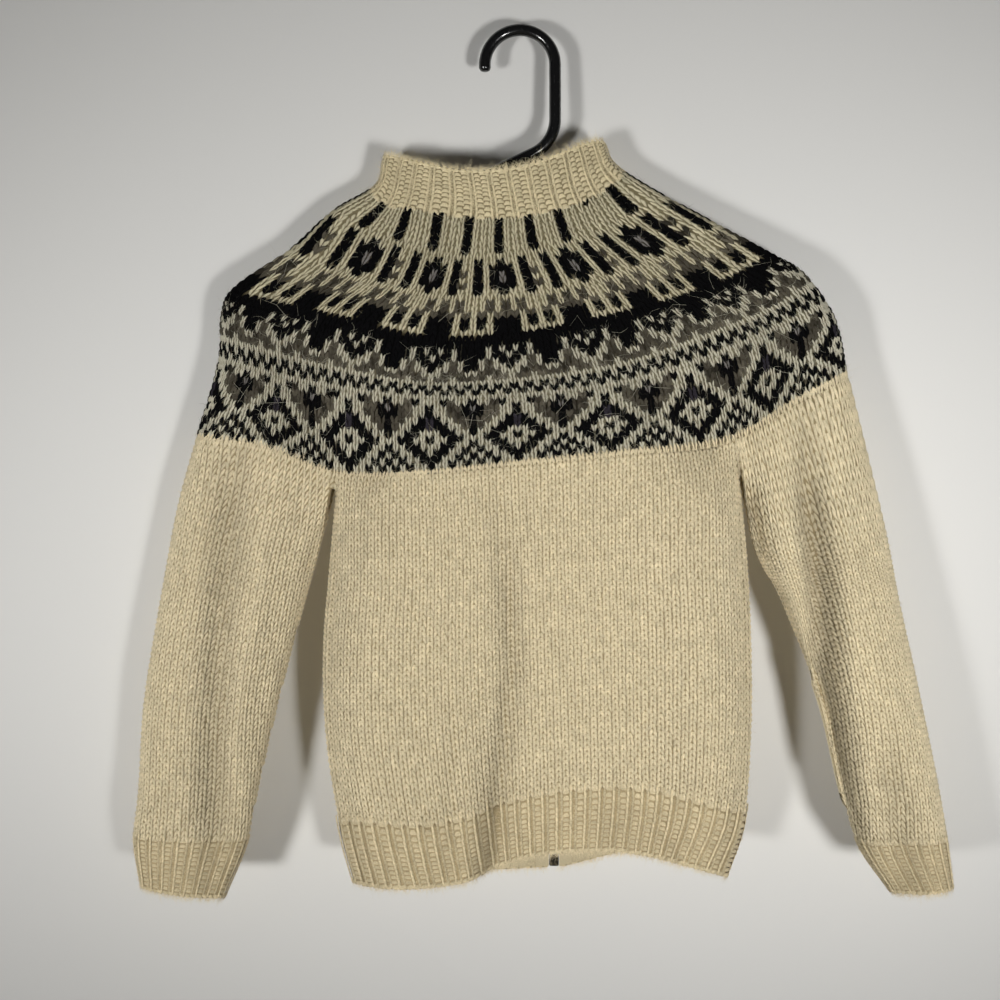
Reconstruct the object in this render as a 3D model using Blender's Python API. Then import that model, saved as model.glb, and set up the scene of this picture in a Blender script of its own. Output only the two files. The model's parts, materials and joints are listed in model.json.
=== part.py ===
"""Child's hand-knitted round-yoke cardigan with a zip front, hanging on a tubular plastic hanger.

Sizes below are millimetres, in the model's own frame: +Z up, X across, the knitted back towards -Y
and the zip front towards +Y. The origin is the inside top of the hanger's hook, where a nail or rail
carries it. Left and right are as seen from behind.

Every knitted wall is a surface read from short tables: a row of the table is one level of the
garment, and its columns are stations round it, counted in knitted stitches. The wall's outer points
lie on that surface (raised where there is ribbing), and its inner points lie WALL behind it.
"""

import math

import bmesh
import bpy
import numpy as np

MM = 0.001  # metres in a millimetre

# ---------------------------------------------------------------- driving dimensions
WALL = 2.6  # thickness of the wool fabric
SEAM = 0.3  # gap left between neighbouring pieces
RIB_RAISE = 1.3  # how far a rib stands out of the ribbing
RIB_FADE = 5.0  # length over which the ribs rise out of the plain knitting
SHOULDER = 0.15  # share of a knit stitch that each flank of a rib takes

YOKE_ROWS = 43  # rows from the joining row to the neckband
NECK_TOP = 55  # row at the neckband's upper edge
YOKE_HALF = 102  # half of the 204 stitches at the yoke's joining row
BODY_HALF = 64  # half of the body's 128 stitches
SLEEVE_ROUND = 46  # stitches round the top of a sleeve
HEM_RIBS = 64  # knit-one-purl-one ribs round the hem
CUFF_RIBS = 18
NECK_RIBS = 28  # knit-one-purl-two ribs round the neckband

# Stitch numbers round the yoke, counted from the centre back: minus is left, plus is right.
RIDGE_LEFT, CORNER_LEFT = -50, -26
RIDGE_RIGHT, CORNER_RIGHT = 51, 30
ARM_LEFT, ARM_RIGHT = -40, 41  # on the sleeve's back, between its corner and its ridge
BACK_LEFT, BACK_RIGHT = -13, 15
ARM_ROUND = 42  # yoke stitches over one sleeve
UNDER_ARM = 2  # body stitches from each corner to the middle of the underarm
NOSE = 4  # stitches on each side of a ridge that round it over
NOSE_SHARE = 0.18  # how far down towards the arm station the nose has come

# ---------------------------------------------------------------- yoke and neckband
# One row per level. x and z of the nine back stations, from the left ridge to the right ridge.
YOKE_STATIONS = (
    RIDGE_LEFT,
    ARM_LEFT,
    CORNER_LEFT,
    BACK_LEFT,
    0,
    BACK_RIGHT,
    CORNER_RIGHT,
    ARM_RIGHT,
    RIDGE_RIGHT,
)
YOKE_LEVELS = (
    # row, ridge L, arm L, corner L, back L, centre,
    #      back R, corner R, arm R, ridge R
    (0, (-239, -297), (-197, -302), (-133, -323), (-69, -325), (-2, -319),
     (79, -311), (157, -300), (200, -275), (243, -253)),
    (12, (-222, -234), (-195, -242), (-135, -255), (-72, -266), (-5, -267),
     (73, -258), (146, -235), (193, -214), (227, -198)),
    (17, (-221, -209), (-196, -217), (-134, -235), (-71, -250), (-8, -249),
     (67, -237), (136, -213), (179, -196), (209, -175)),
    (23, (-213, -188), (-178, -197), (-126, -209), (-68, -223), (-9, -223),
     (57, -211), (118, -195), (158, -180), (189, -163)),
    (30, (-170, -158), (-145, -170), (-100, -184), (-58, -193), (-11, -193),
     (42, -186), (91, -171), (126, -156), (149, -141)),
    (37, (-138, -129), (-120, -141), (-84, -155), (-50, -164), (-16, -164),
     (23, -158), (60, -146), (88, -132), (110, -120)),
    (43, (-112, -114), (-102, -125), (-76, -131), (-45, -137), (-17, -139),
     (15, -135), (46, -125), (66, -113), (78, -101)),
    (55, (-101, -90), (-91, -92), (-70, -98), (-46, -104), (-22, -105),
     (7, -100), (35, -88), (51, -81), (62, -79)),
)
# Half depths of the same levels, the zip's x, and how much lower the front hangs at the zip.
YOKE_DEPTHS = (
    # row, centre, quarter, corner, arm, nose, zip x, front drop
    (0, 38, 34, 14, 25, 13, 18, 0),
    (12, 36, 33, 24, 27, 14, 12, 4),
    (17, 34, 31, 25, 25, 13, 9, 6),
    (23, 32, 29, 24, 21, 12, 6, 9),
    (30, 29, 27, 21, 15, 10, 2, 14),
    (37, 28, 25, 18, 12, 9, -2, 18),
    (43, 27, 24, 17, 11, 8, -6, 22),
    (55, 26, 23, 16, 10, 7, -8, 22),
)

# ---------------------------------------------------------------- body
# Share of the way from the joining row (0) to the ribbing (1) and on to the hem's edge (HEM_END).
HEM_END = 1.3
SHARE_LENGTH = 150.0  # millimetres of the hem ribbing to one unit of share
BODY_LEVELS = (
    # share, side L, corner L, back L, centre,
    #        back R, corner R, side R
    (0.0, (-134.6, -324), (-133, -323), (-69, -325), (-2, -319),
     (79, -311), (157, -300), (158.6, -301)),
    (0.27, (-142, -392), (-134, -392), (-67, -390), (0, -384),
     (79, -377), (160, -375), (168, -377)),
    (0.53, (-147, -458), (-138, -456), (-68, -453), (1, -444),
     (81, -437), (163, -446), (172, -447)),
    (0.79, (-144, -525), (-136, -522), (-66, -518), (3, -506),
     (82, -500), (163, -515), (172, -517)),
    (1.0, (-135, -582), (-127, -579), (-59, -576), (5, -560),
     (83, -554), (159, -571), (168, -574)),
    (1.3, (-124, -625), (-116, -624), (-51, -617), (7, -599),
     (79, -596), (144, -615), (154, -621)),
)
BODY_DEPTHS = (
    # share, corner, back L, centre, back R, front quarter, front zip, zip x, front z at the zip
    (0.0, 14, 34, 38, 34, 34, 38, 18, -319),
    (0.27, 17, 35, 37, 33, 34, 37, 21, -388),
    (0.53, 17, 35, 33, 30, 32, 35, 24, -454),
    (0.79, 16, 36, 28, 26, 29, 33, 25, -520),
    (1.0, 15, 38, 22, 20, 26, 31, 26, -573),
    (1.3, 14, 40, 17, 14, 24, 30, 26, -620),
)

# ---------------------------------------------------------------- sleeves
# One row per ring below the armhole: distance down the sleeve, the ring's outer and inner x and z,
# and its half depth. The last two rows are the cuff.
CUFF_TOP, CUFF_END = 283, 323
SLEEVE_LEFT = (
    # down, outer,        inner,        half depth
    (40, (-252, -343), (-144, -366), 24),
    (109, (-266, -417), (-161, -426), 25),
    (182, (-278, -491), (-179, -495), 22),
    (255, (-283, -565), (-195, -565), 19),
    (283, (-286, -592), (-201, -594), 17),
    (323, (-281, -628), (-218, -636), 15),
)
SLEEVE_RIGHT = (
    (40, (266, -347), (170, -366), 27),
    (109, (280, -417), (194, -419), 31),
    (182, (296, -491), (222, -491), 31),
    (255, (311, -565), (240, -565), 26),
    (283, (316, -594), (249, -596), 22),
    (323, (320, -628), (273, -632), 20),
)

# ---------------------------------------------------------------- folds
# Soft troughs (depth > 0) and ridges (depth < 0) of the cloth, as lines seen from behind.
FOLDS_BODY = (
    # top x, top z, bottom x, bottom z, half width, depth
    (-33, -405, -27, -622, 11, 7.0),
    (-38, -520, -42, -622, 10, -3.0),
    (110, -330, 152, -470, 12, 3.5),
    (-112, -335, -128, -450, 10, 3.0),
    (60, -420, 40, -600, 20, 2.5),
)
FOLDS_SLEEVE_LEFT = (
    (-165, -345, -205, -470, 12, 4.0),
    (-228, -320, -240, -420, 14, 2.5),
    (-214, -500, -240, -600, 12, 3.0),
)
FOLDS_SLEEVE_RIGHT = (
    (222, -330, 224, -475, 11, 8.0),
    (170, -385, 213, -470, 11, -3.0),
    (262, -520, 285, -600, 14, 3.0),
)

# ---------------------------------------------------------------- zip
ZIP_EDGE = 4.5  # from the zip's centre line to each knitted front edge
TAPE_IN, TAPE_OUT = 3.9, 14.0  # a tape's edges, from the centre line
TAPE_THICK = 0.8
CHAIN_WIDE, CHAIN_THICK = 7.2, 2.2
BOX_WIDE, BOX_TALL, BOX_THICK = 7.2, 8.6, 3.4
SLIDER_BELOW_TOP = 13.0  # from the chain's upper end to the middle of the slider
SLIDER_WIDE, SLIDER_TALL, SLIDER_THICK = 7.0, 11.0, 2.0
CROWN_WIDE, CROWN_TALL, CROWN_RISE, CROWN_BAR = 1.6, 6.4, 3.6, 1.1
PIN_RISE = 1.35  # the tab's own cross pin above the slider's plate
TAB_WIDE, TAB_LONG, TAB_THICK = 5.2, 24.0, 1.2
TAB_WINDOW_WIDE, TAB_WINDOW_LONG = 3.0, 4.4
TAB_CORNER = 1.2  # cut off the tab's lower corners

# ---------------------------------------------------------------- hanger
TUBE = 4.4  # the hanger tube's radius
TUBE_SIDES = 12
HOOK_RADIUS = 26.0  # of the hook's centre line
HOOK_SWEEP = 183.0  # degrees from the stem over the top to the hook's tip
NECK_BEND = 28.0  # radius of the bend from the stem into the left arm
ARM_SLOPE = 25.15  # degrees
TILT = 0.2  # degrees that the hanger hangs lower on the left
ARMS_MEET = (4.0, -89.6)  # x and z where the two arms' centre lines cross
ARM_LENGTH = 220.0  # along each arm, to the start of the bend at its end
END_BEND = 11.0  # radius of the bends at the shoulders
WELD_TUBE = 4.1  # radius of the right arm's root, which runs into the neck bend
WELD_LONG = 22.0  # from where the arms meet to the full-width right arm

# ---------------------------------------------------------------- colours
CREAM_WOOL = (0.60, 0.50, 0.33)
YOKE_WOOL = (0.13, 0.11, 0.09)
BLACK_PLASTIC = (0.006, 0.006, 0.007)
ZIP_CLOTH = (0.45, 0.38, 0.27)
DARK_METAL = (0.11, 0.10, 0.09)


def smooth_rows(places, values, at):
    """A smooth curve through rows of values at rising places, read at the points `at`."""
    places = np.asarray(places, float)
    values = np.asarray(values, float)
    at = np.atleast_1d(np.asarray(at, float))
    steps = np.diff(places)
    rates = np.diff(values, axis=0) / steps.reshape(-1, *[1] * (values.ndim - 1))
    slopes = np.empty_like(values)
    slopes[0], slopes[-1] = rates[0], rates[-1]
    for i in range(1, len(places) - 1):
        before, after = steps[i - 1], steps[i]
        slopes[i] = (after * rates[i - 1] + before * rates[i]) / (before + after)
    i = np.clip(np.searchsorted(places, at, side="right") - 1, 0, len(steps) - 1)
    width = steps[i].reshape(-1, *[1] * (values.ndim - 1))
    t = (at - places[i]).reshape(width.shape) / width
    return (
        values[i] * (1 + 2 * t) * (1 - t) ** 2
        + slopes[i] * width * t * (1 - t) ** 2
        + values[i + 1] * t * t * (3 - 2 * t)
        + slopes[i + 1] * width * t * t * (t - 1)
    )


def unit(vectors):
    return vectors / np.linalg.norm(vectors, axis=-1, keepdims=True)


def fold_push(points, folds):
    """How far the back surface moves forward (+Y) at these points, for a list of folds."""
    push = np.zeros(points.shape[:-1])
    for top_x, top_z, low_x, low_z, half_width, depth in folds:
        along = np.clip((top_z - points[..., 2]) / (top_z - low_z), 0, 1)
        line_x = top_x + along * (low_x - top_x)
        across = (points[..., 0] - line_x) / half_width
        grow = np.sin(np.clip(along * 1.6, 0, 1) * math.pi / 2) ** 2
        push += depth * grow * np.exp(-across * across)
    return push


# ================================================================ the knitted surfaces
def yoke_controls():
    """Rows of control points: levels x stations x (x, y, z), and the stations' stitch numbers."""
    stations, rings = None, []
    for level, depths in zip(YOKE_LEVELS, YOKE_DEPTHS):
        _, centre, quarter, corner, arm, nose, zip_x, drop = depths
        xz = np.array(level[1:], float)
        depth = (0, arm, corner, quarter, centre, quarter, corner, arm, 0)
        back = [[s, x, -d, z] for s, (x, z), d in zip(YOKE_STATIONS, xz, depth)]
        left_nose = xz[0] + NOSE_SHARE * (xz[1] - xz[0])
        right_nose = xz[8] + NOSE_SHARE * (xz[7] - xz[8])
        back.insert(1, [RIDGE_LEFT + NOSE, left_nose[0], -nose, left_nose[1]])
        back.insert(-1, [RIDGE_RIGHT - NOSE, right_nose[0], -nose, right_nose[1]])
        front_left = [
            [-YOKE_HALF, zip_x - ZIP_EDGE, centre, xz[4][1] - drop],
            [-85, (zip_x + xz[2][0]) / 2, quarter, (xz[4][1] + xz[2][1]) / 2 - 0.8 * drop],
            [-68, xz[2][0], corner, xz[2][1] - 0.4 * drop],
            [-59, xz[1][0], arm, xz[1][1] - 0.15 * drop],
            [RIDGE_LEFT - NOSE, left_nose[0], nose, left_nose[1]],
        ]
        front_right = [
            [RIDGE_RIGHT + NOSE, right_nose[0], nose, right_nose[1]],
            [61, xz[7][0], arm, xz[7][1] - 0.15 * drop],
            [72, xz[6][0], corner, xz[6][1] - 0.4 * drop],
            [87, (zip_x + xz[6][0]) / 2, quarter, (xz[4][1] + xz[6][1]) / 2 - 0.8 * drop],
            [YOKE_HALF, zip_x + ZIP_EDGE, centre, xz[4][1] - drop],
        ]
        ring = np.array(front_left + back + front_right, float)
        stations = ring[:, 0]
        rings.append(ring[:, 1:])
    return stations, np.array(rings)


YOKE_AT, YOKE_RINGS = yoke_controls()
YOKE_ROW_AT = [level[0] for level in YOKE_LEVELS]


def yoke_surface(stitch, row):
    """The yoke's and neckband's outer surface on a grid: len(stitch) x len(row) x 3."""
    by_row = smooth_rows(YOKE_ROW_AT, YOKE_RINGS, row)
    by_station = np.moveaxis(by_row, 1, 0)
    return smooth_rows(YOKE_AT, by_station, stitch)


def body_controls():
    """Rows of control points round the body: levels x stations x (x, y, z)."""
    stations, rings = None, []
    for level, depths in zip(BODY_LEVELS, BODY_DEPTHS):
        _, corner, back_l, centre, back_r, front_q, front_c, zip_x, zip_z = depths
        side_l, corner_l, at_l, at_c, at_r, corner_r, side_r = level[1:]
        ring = [
            [-BODY_HALF, zip_x - ZIP_EDGE, front_c, zip_z],
            [-47, (zip_x + side_l[0]) / 2 - 6, front_q, (zip_z + side_l[1]) / 2],
            [-30, corner_l[0], corner, corner_l[1]],
            [-28, side_l[0], 0, side_l[1]],
            [CORNER_LEFT, corner_l[0], -corner, corner_l[1]],
            [BACK_LEFT, at_l[0], -back_l, at_l[1]],
            [0, at_c[0], -centre, at_c[1]],
            [BACK_RIGHT, at_r[0], -back_r, at_r[1]],
            [CORNER_RIGHT, corner_r[0], -corner, corner_r[1]],
            [32, side_r[0], 0, side_r[1]],
            [34, corner_r[0], corner, corner_r[1]],
            [49, (zip_x + side_r[0]) / 2 + 6, front_q, (zip_z + side_r[1]) / 2],
            [BODY_HALF, zip_x + ZIP_EDGE, front_c, zip_z],
        ]
        ring = np.array(ring, float)
        stations = ring[:, 0]
        rings.append(ring[:, 1:])
    return stations, np.array(rings)


BODY_AT, BODY_RINGS = body_controls()
BODY_SHARE_AT = [level[0] for level in BODY_LEVELS]
SIDE_LEFT, SIDE_RIGHT = CORNER_LEFT - UNDER_ARM, CORNER_RIGHT + UNDER_ARM


def yoke_stitch_of(body_stitch):
    """The yoke stitch above a body stitch, on the back and on the fronts."""
    s = np.asarray(body_stitch, float)
    right_front = s + (YOKE_HALF - BODY_HALF)
    left_front = s - (YOKE_HALF - BODY_HALF)
    return np.where(s > SIDE_RIGHT + 1, right_front, np.where(s < SIDE_LEFT - 1, left_front, s))


def past_corner(body_stitch):
    """Stitches from the nearest armhole corner along the yoke; negative under the arm."""
    s = np.asarray(body_stitch, float)
    on_back = np.minimum(s - CORNER_LEFT, CORNER_RIGHT - s)
    return np.maximum(on_back, np.maximum(SIDE_LEFT - UNDER_ARM - s, s - SIDE_RIGHT - UNDER_ARM))


def body_surface(stitch, share):
    """The body's outer surface. Its top edge is the yoke's joining row, stitch for stitch."""
    stitch, share = np.asarray(stitch, float), np.asarray(share, float)
    by_share = smooth_rows(BODY_SHARE_AT, BODY_RINGS, share)
    points = smooth_rows(BODY_AT, np.moveaxis(by_share, 1, 0), stitch)
    own_top = smooth_rows(BODY_AT, BODY_RINGS[0], stitch)
    joined = yoke_surface(yoke_stitch_of(stitch), [0.0])[:, 0]
    shift = np.where((past_corner(stitch) > 0)[:, None], joined - own_top, 0)
    keep = np.clip(1 - share / 0.27, 0, 1) ** 2
    points = points + shift[:, None] * keep[None, :, None]
    back = np.clip((stitch - CORNER_LEFT) / 4, 0, 1) * np.clip((CORNER_RIGHT - stitch) / 4, 0, 1)
    points[..., 1] += fold_push(points, FOLDS_BODY) * back[:, None]
    return points


def ellipse_round(share, half_width, half_depth):
    """Points evenly spaced along a flattened ring, from its inner end over the back and round."""
    angle = np.linspace(0, 2 * math.pi, 241)
    x, y = half_width * np.cos(angle), -half_depth * np.sin(angle)
    length = np.concatenate([[0], np.cumsum(np.hypot(np.diff(x), np.diff(y)))])
    at = np.interp(share, length / length[-1], angle)
    return np.stack([half_width * np.cos(at), -half_depth * np.sin(at)], axis=-1)


def yoke_stitch_over(sleeve_stitch, side):
    corner, way = (CORNER_LEFT, -1) if side < 0 else (CORNER_RIGHT, 1)
    return corner + way * np.clip(sleeve_stitch - UNDER_ARM, 0, ARM_ROUND)


def sleeve_top(stitch, side):
    """The armhole edge: the body's underarm edge, and the yoke's joining row over the sleeve."""
    middle, way = (SIDE_LEFT, 1) if side < 0 else (SIDE_RIGHT, -1)
    round_from_middle = np.where(stitch > SLEEVE_ROUND / 2, stitch - SLEEVE_ROUND, stitch)
    under = np.abs(round_from_middle) <= UNDER_ARM
    body_stitch = middle + way * np.clip(round_from_middle, -UNDER_ARM, UNDER_ARM)
    on_body = body_surface(body_stitch, [0.0])[:, 0]
    on_yoke = yoke_surface(yoke_stitch_over(stitch, side), [0.0])[:, 0]
    return np.where(under[:, None], on_body, on_yoke) + np.array([side * SEAM, 0, 0])


def sleeve_surface(stitch, down, side):
    """A sleeve's outer surface on a grid of stitches round it and millimetres down it."""
    stitch, down = np.mod(np.asarray(stitch, float), SLEEVE_ROUND), np.asarray(down, float)
    table = SLEEVE_LEFT if side < 0 else SLEEVE_RIGHT
    folds = FOLDS_SLEEVE_LEFT if side < 0 else FOLDS_SLEEVE_RIGHT
    outer_at = (26, 23) if side < 0 else (23, 23)  # the outer stitch at the top and lower down
    rings, places = [sleeve_top(stitch, side)], [0.0]
    for at, outer, inner, half_depth in table:
        outer, inner = np.array(outer, float), np.array(inner, float)
        mid, half = (outer + inner) / 2, np.linalg.norm(inner - outer) / 2
        along = (inner - outer) / np.linalg.norm(inner - outer)
        shift = outer_at[0] + (outer_at[1] - outer_at[0]) * min(1, at / 180)
        share = np.interp(stitch, (0, shift, SLEEVE_ROUND), (0, 0.5, 1))
        ring = ellipse_round(share, half, half_depth)
        x, z = mid[0] + ring[:, 0] * along[0], mid[1] + ring[:, 0] * along[1]
        rings.append(np.stack([x, ring[:, 1], z], axis=-1))
        places.append(at)
    points = smooth_rows(places, np.array(rings), down)
    points = np.moveaxis(points, 1, 0)
    back = np.clip(-points[..., 1] / 12, 0, 1)
    points[..., 1] += fold_push(points, folds) * back
    return points


def left_sleeve_surface(stitch, down):
    return sleeve_surface(stitch, down, -1)


def right_sleeve_surface(stitch, down):
    return sleeve_surface(stitch, down, 1)


def normals_of(surface, u, v):
    """Unit normals of surface(u, v) on a grid, pointing out of the garment."""
    u, v = np.asarray(u, float), np.asarray(v, float)
    step_u, step_v = 0.2, 0.004
    along_u = surface(u + step_u, v) - surface(u - step_u, v)
    along_v = surface(u, v + step_v) - surface(u, v - step_v)
    normal = unit(np.cross(along_u, along_v))
    outward = np.sum(normal[..., 1] * surface(u, v)[..., 1])
    return normal if outward > 0 else -normal


# ================================================================ solids
def material(name, colour, roughness, metallic=0.0):
    made = bpy.data.materials.new(name)
    made.use_nodes = True
    shader = made.node_tree.nodes["Principled BSDF"]
    shader.inputs["Base Color"].default_value = (*colour, 1)
    shader.inputs["Roughness"].default_value = roughness
    shader.inputs["Metallic"].default_value = metallic
    return made


def add_object(name, vertices, faces, finish, origin=(0, 0, 0)):
    """A mesh object from millimetre points, its faces turned outwards, placed by its origin."""
    vertices = np.asarray(vertices, float) - np.asarray(origin, float)
    mesh = bpy.data.meshes.new(name)
    mesh.from_pydata([tuple(float(c) * MM for c in v) for v in vertices], [], faces)
    work = bmesh.new()
    work.from_mesh(mesh)
    bmesh.ops.recalc_face_normals(work, faces=work.faces)
    if work.calc_volume(signed=True) < 0:
        bmesh.ops.reverse_faces(work, faces=work.faces)
    work.to_mesh(mesh)
    work.free()
    mesh.shade_smooth()
    mesh.set_sharp_from_angle(angle=math.radians(40))
    made = bpy.data.objects.new(name, mesh)
    made.location = [c * MM for c in origin]
    made.data.materials.append(finish)
    bpy.context.scene.collection.objects.link(made)
    return made


def wall_mesh(outer, inner, closed=False):
    """Vertices and faces of a solid between two grids of points, both (round, along, 3)."""
    n, m = outer.shape[:2]
    vertices = np.concatenate([outer.reshape(-1, 3), inner.reshape(-1, 3)])
    faces = []
    for i in range(n if closed else n - 1):
        j = (i + 1) % n
        for k in range(m - 1):
            outside = (i * m + k, j * m + k, j * m + k + 1, i * m + k + 1)
            faces.append(outside)
            faces.append(tuple(n * m + corner for corner in reversed(outside)))
        for k in (0, m - 1):
            faces.append((i * m + k, n * m + i * m + k, n * m + j * m + k, j * m + k))
    if not closed:
        for i in (0, n - 1):
            for k in range(m - 1):
                a, b = i * m + k, i * m + k + 1
                faces.append((a, b, n * m + b, n * m + a))
    return vertices, faces


def box_mesh(centre, axes, sizes):
    """Vertices and faces of a box with its own axes."""
    half = [unit(np.asarray(axis, float)) * size / 2 for axis, size in zip(axes, sizes)]
    corners = [(-1, -1), (1, -1), (1, 1), (-1, 1)]
    outer = [[centre + a * half[0] + b * half[1] + c * half[2] for c in (-1, 1)] for a, b in corners]
    vertices = np.array(outer).reshape(-1, 3)
    faces = [(0, 2, 4, 6), (1, 7, 5, 3)]
    faces += [(2 * i, 2 * i + 1, (2 * i + 3) % 8, (2 * i + 2) % 8) for i in range(4)]
    return vertices, faces


def tube_mesh(path, radii):
    """Vertices and faces of a round tube along points in the plane y = 0."""
    path = np.asarray(path, float)
    tangent = unit(np.gradient(path, axis=0))
    sideways = np.stack([-tangent[:, 2], np.zeros(len(path)), tangent[:, 0]], axis=-1)
    vertices, faces = [], []
    for point, side, radius in zip(path, sideways, radii):
        for k in range(TUBE_SIDES):
            turn = 2 * math.pi * k / TUBE_SIDES
            vertices.append(point + radius * (math.cos(turn) * side + math.sin(turn) * np.array([0, 1, 0])))
    for i in range(len(path) - 1):
        for k in range(TUBE_SIDES):
            a, b = i * TUBE_SIDES + k, i * TUBE_SIDES + (k + 1) % TUBE_SIDES
            faces.append((a, b, b + TUBE_SIDES, a + TUBE_SIDES))
    last = (len(path) - 1) * TUBE_SIDES
    faces.append(tuple(range(TUBE_SIDES)))
    faces.append(tuple(last + k for k in reversed(range(TUBE_SIDES))))
    return np.array(vertices), faces


def fuse(name, first, second, finish):
    """One solid from two meshes that run into each other."""
    joined = add_object(name, *first, finish)
    tool = add_object(name + "_tool", *second, finish)
    union = joined.modifiers.new("Union", "BOOLEAN")
    union.operation = "UNION"
    union.solver = "EXACT"
    union.object = tool
    graph = bpy.context.evaluated_depsgraph_get()
    mesh = bpy.data.meshes.new_from_object(joined.evaluated_get(graph))
    joined.modifiers.clear()
    joined.data = mesh
    bpy.data.objects.remove(tool)
    return joined


# ================================================================ knitted panels
def drawn_in(points, closed):
    """The grid of points with its open edges drawn in by half a seam."""
    points = points.copy()

    def beside(edge, neighbour):
        return edge + unit(neighbour - edge) * SEAM / 2

    points[:, 0], points[:, -1] = (
        beside(points[:, 0], points[:, 1]),
        beside(points[:, -1], points[:, -2]),
    )
    if not closed:
        points[0], points[-1] = beside(points[0], points[1]), beside(points[-1], points[-2])
    return points


def on_corners(values, corners, stitches):
    """Values read at stitches along the straight edges between another piece's corners."""
    return np.stack([np.interp(stitches, corners, column) for column in values.T], axis=-1)


def panel(name, surface, u, v, finish, raised=None, closed=False, top_normals=None, joins=None):
    """A knitted wall on surface(u, v): plain inside, raised outside by raised(u, v).

    Where its first level meets a piece with fewer corners, joins gives that piece's stitches."""
    u, v = np.asarray(u, float), np.asarray(v, float)
    curved, out = surface(u, v), normals_of(surface, u, v)
    base = drawn_in(curved, closed)
    if top_normals is not None:
        out[:, 0] = top_normals(u, out[:, 0])
    if joins is not None:
        base[:, 0] += on_corners(surface(joins, v[:1])[:, 0], joins, u) - curved[:, 0]
        out[:, 0] = on_corners(normals_of(surface, joins, v[:1])[:, 0], joins, u)
    outer = base if raised is None else base + out * raised(u, v)[..., None]
    vertices, faces = wall_mesh(outer, base - out * WALL, closed)
    return add_object(name, vertices, faces, finish)


def yoke_normals_blend(own, yoke_stitch, from_corner):
    """Top-edge normals: the yoke's own, turning to the piece's own at the armhole's corners."""
    above = normals_of(yoke_surface, yoke_stitch, [0.0])[:, 0]
    share = np.clip(from_corner / 3, 0, 1)[:, None]
    return unit(own + share * (above - own))


def body_top_normals(stitch, own):
    return yoke_normals_blend(own, yoke_stitch_of(stitch), past_corner(stitch))


def sleeve_top_normals(side):
    def blend(stitch, own):
        from_corner = np.minimum(stitch - UNDER_ARM, UNDER_ARM + ARM_ROUND - stitch)
        return yoke_normals_blend(own, yoke_stitch_over(stitch, side), from_corner)

    return blend


def ribs_raised(pitch, knit, start, full_at):
    """How far ribbing stands out at stitches u and levels v: full over each rib from level full_at."""

    def raised(u, v):
        phase = np.mod(u - start, pitch)
        ridge = np.where(phase < knit, RIB_RAISE, 0.0)
        grown = np.clip((v - v[0]) / (full_at - v[0]), 0, 1)
        return ridge[:, None] * grown[None, :]

    return raised


def rib_stitches(low, high, pitch, knit, start):
    """Stitch places across ribbing: both shoulders of each rib, and the valley beside it."""
    soft = SHOULDER * knit
    places = [low]
    for k in range(round((low - start) / pitch), round((high - start) / pitch)):
        rib = start + k * pitch
        places += [rib + soft, rib + knit - soft]
        if knit < 0.4 * pitch:
            places += [rib + knit + soft, rib + pitch - soft]
        else:
            places += [rib + (knit + pitch) / 2]
    return np.array([*places, high])


# Where the pieces have their rows of corners, top to bottom or bottom to top.
YOKE_LINES = tuple(np.linspace(0, YOKE_ROWS, 10))
NECK_LINES = (YOKE_ROWS, YOKE_ROWS + 1.5, NECK_TOP)
BODY_LINES = (0, 0.06, 0.14, 0.27, 0.42, 0.57, 0.72, 0.86, 1.0)
HEM_LINES = (1.0, 1 + RIB_FADE / SHARE_LENGTH, HEM_END)
SLEEVE_LINES = (0, 10, 24, 40, 70, 109, 145, 182, 218, 252, CUFF_TOP)
CUFF_LINES = (CUFF_TOP, CUFF_TOP + RIB_FADE, CUFF_END)
SPREAD = np.array([0, 0.08, 0.2, 0.36, 0.52, 0.68, 0.82, 0.93, 1.0])


def between(first, last, shares=SPREAD):
    """Stitch places from first to last, closer together near both ends."""
    return first + (last - first) * np.asarray(shares)


def in_order(*runs):
    return np.unique(np.round(np.concatenate(runs), 6))


def yoke_stitches():
    """Where the yoke's three panels have their corners: back, left front and right front."""
    middle = np.linspace(CORNER_LEFT, CORNER_RIGHT, 19)
    last_left, last_right = CORNER_LEFT - ARM_ROUND, CORNER_RIGHT + ARM_ROUND
    return (
        in_order(between(CORNER_LEFT, RIDGE_LEFT), middle, between(CORNER_RIGHT, RIDGE_RIGHT)),
        in_order(between(last_left, RIDGE_LEFT), np.linspace(-YOKE_HALF, last_left, 10)),
        in_order(between(last_right, RIDGE_RIGHT), np.linspace(last_right, YOKE_HALF, 9)),
    )


def body_stitches():
    """Where the body's three panels have their corners: back, left front and right front."""
    middle = np.linspace(CORNER_LEFT, CORNER_RIGHT, 19)
    left, right = SIDE_LEFT - UNDER_ARM, SIDE_RIGHT + UNDER_ARM
    return (
        in_order((SIDE_LEFT, SIDE_LEFT + 1), middle, (SIDE_RIGHT - 1, SIDE_RIGHT)),
        in_order(np.linspace(-BODY_HALF, left, 10), (left + 1, SIDE_LEFT)),
        in_order((SIDE_RIGHT, SIDE_RIGHT + 1), np.linspace(right, BODY_HALF, 9)),
    )


def make_yoke(wool):
    for name, stitches in zip(("back", "front_left", "front_right"), yoke_stitches()):
        panel(f"yoke_{name}", yoke_surface, stitches, YOKE_LINES, wool)


def make_neckband(wool):
    pitch = 2 * YOKE_HALF / NECK_RIBS
    stitches = rib_stitches(-YOKE_HALF, YOKE_HALF, pitch, pitch / 3, -YOKE_HALF)
    raised = ribs_raised(pitch, pitch / 3, -YOKE_HALF, NECK_LINES[1])
    corners = in_order(*yoke_stitches())
    panel("neckband", yoke_surface, stitches, NECK_LINES, wool, raised, joins=corners)


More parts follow.
